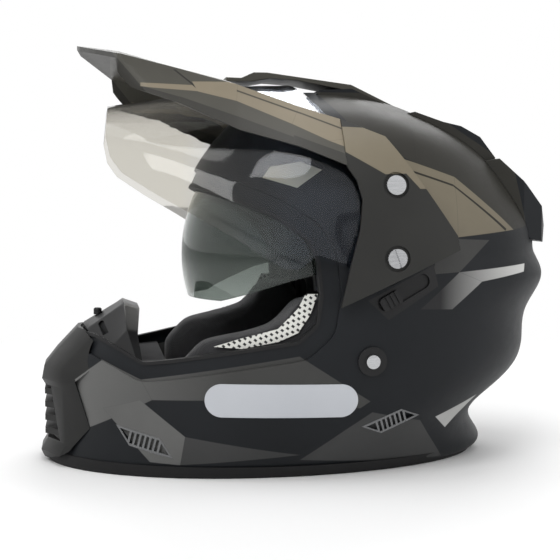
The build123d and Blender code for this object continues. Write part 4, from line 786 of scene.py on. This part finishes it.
# %% [markdown]
# The sky is at full white only for the camera and for what is seen in gloss or through
# glass. For everything else it is a dim fill, because a white room on all sides would wash
# the black paint out to grey.

# %% Sky
SKY_FILL = 0.45

world = bpy.data.worlds.new("white_room")
world.use_nodes = True
scene.world = world
sky = world.node_tree
seen = sky.nodes.new("ShaderNodeLightPath")
strength = None
for ray in ("Is Camera Ray", "Is Glossy Ray", "Is Transmission Ray"):
    join = sky.nodes.new("ShaderNodeMath")
    join.operation = "MAXIMUM"
    join.inputs[1].default_value = SKY_FILL
    sky.links.new(seen.outputs[ray], join.inputs[0])
    if strength:
        sky.links.new(strength, join.inputs[1])
    strength = join.outputs[0]
background = sky.nodes["Background"]
background.inputs["Color"].default_value = (1, 1, 1, 1)
sky.links.new(strength, background.inputs["Strength"])
print("sky nodes", len(sky.nodes))

# %% [markdown]
# The helmet is lit by four large soft lamps: over the camera's left shoulder, from the
# right, from above, and from behind to draw a light edge along the crown. Large lamps give
# the broad highlights that show how a dark surface curves.

# %% Lamps
LAMPS = {    # place, what it points at, width and height, power
    "key": ((-0.9, -1.3, 1.5), (0, 0, 0.12), (1.2, 0.8), 17),
    "fill": ((1.3, -1.2, 0.7), (0, 0, 0.12), (1.0, 1.0), 6),
    "rim": ((0.4, 1.2, 1.3), (0, 0, 0.15), (1.4, 0.5), 12),
    "top": ((-0.1, -0.1, 1.6), (0, 0, 0.15), (1.0, 1.0), 9),
}


def aimed(item, place, aim):
    """Puts a lamp or camera at a place, turned to look at a point."""
    item.location = place
    item.rotation_euler = (Vector(aim) - Vector(place)).to_track_quat("-Z", "Y").to_euler()
    scene.collection.objects.link(item)


for name, (place, aim, size, power) in LAMPS.items():
    data = bpy.data.lights.new(name, "AREA")
    data.shape = "RECTANGLE"
    data.size, data.size_y = size
    data.energy = power
    aimed(bpy.data.objects.new(name, data), place, aim)
print("lamps", len(LAMPS), "watts", sum(lamp[-1] for lamp in LAMPS.values()))

# %% [markdown]
# The camera stands a little towards the face and a little above, with a long lens, as in
# a shop photograph.

# %% Camera
SPOT = (-0.15145, -0.88675, 0.19078)
AIM = (-0.011, 0.0, 0.128)
LENS = 76.53
SENSOR = 36.0

camera_data = bpy.data.cameras.new("camera")
camera_data.lens = LENS
camera_data.sensor_width = SENSOR
camera = bpy.data.objects.new("camera", camera_data)
aimed(camera, SPOT, AIM)
scene.camera = camera
scene.view_settings.view_transform = "Standard"
print("camera at", SPOT, "lens", LENS)
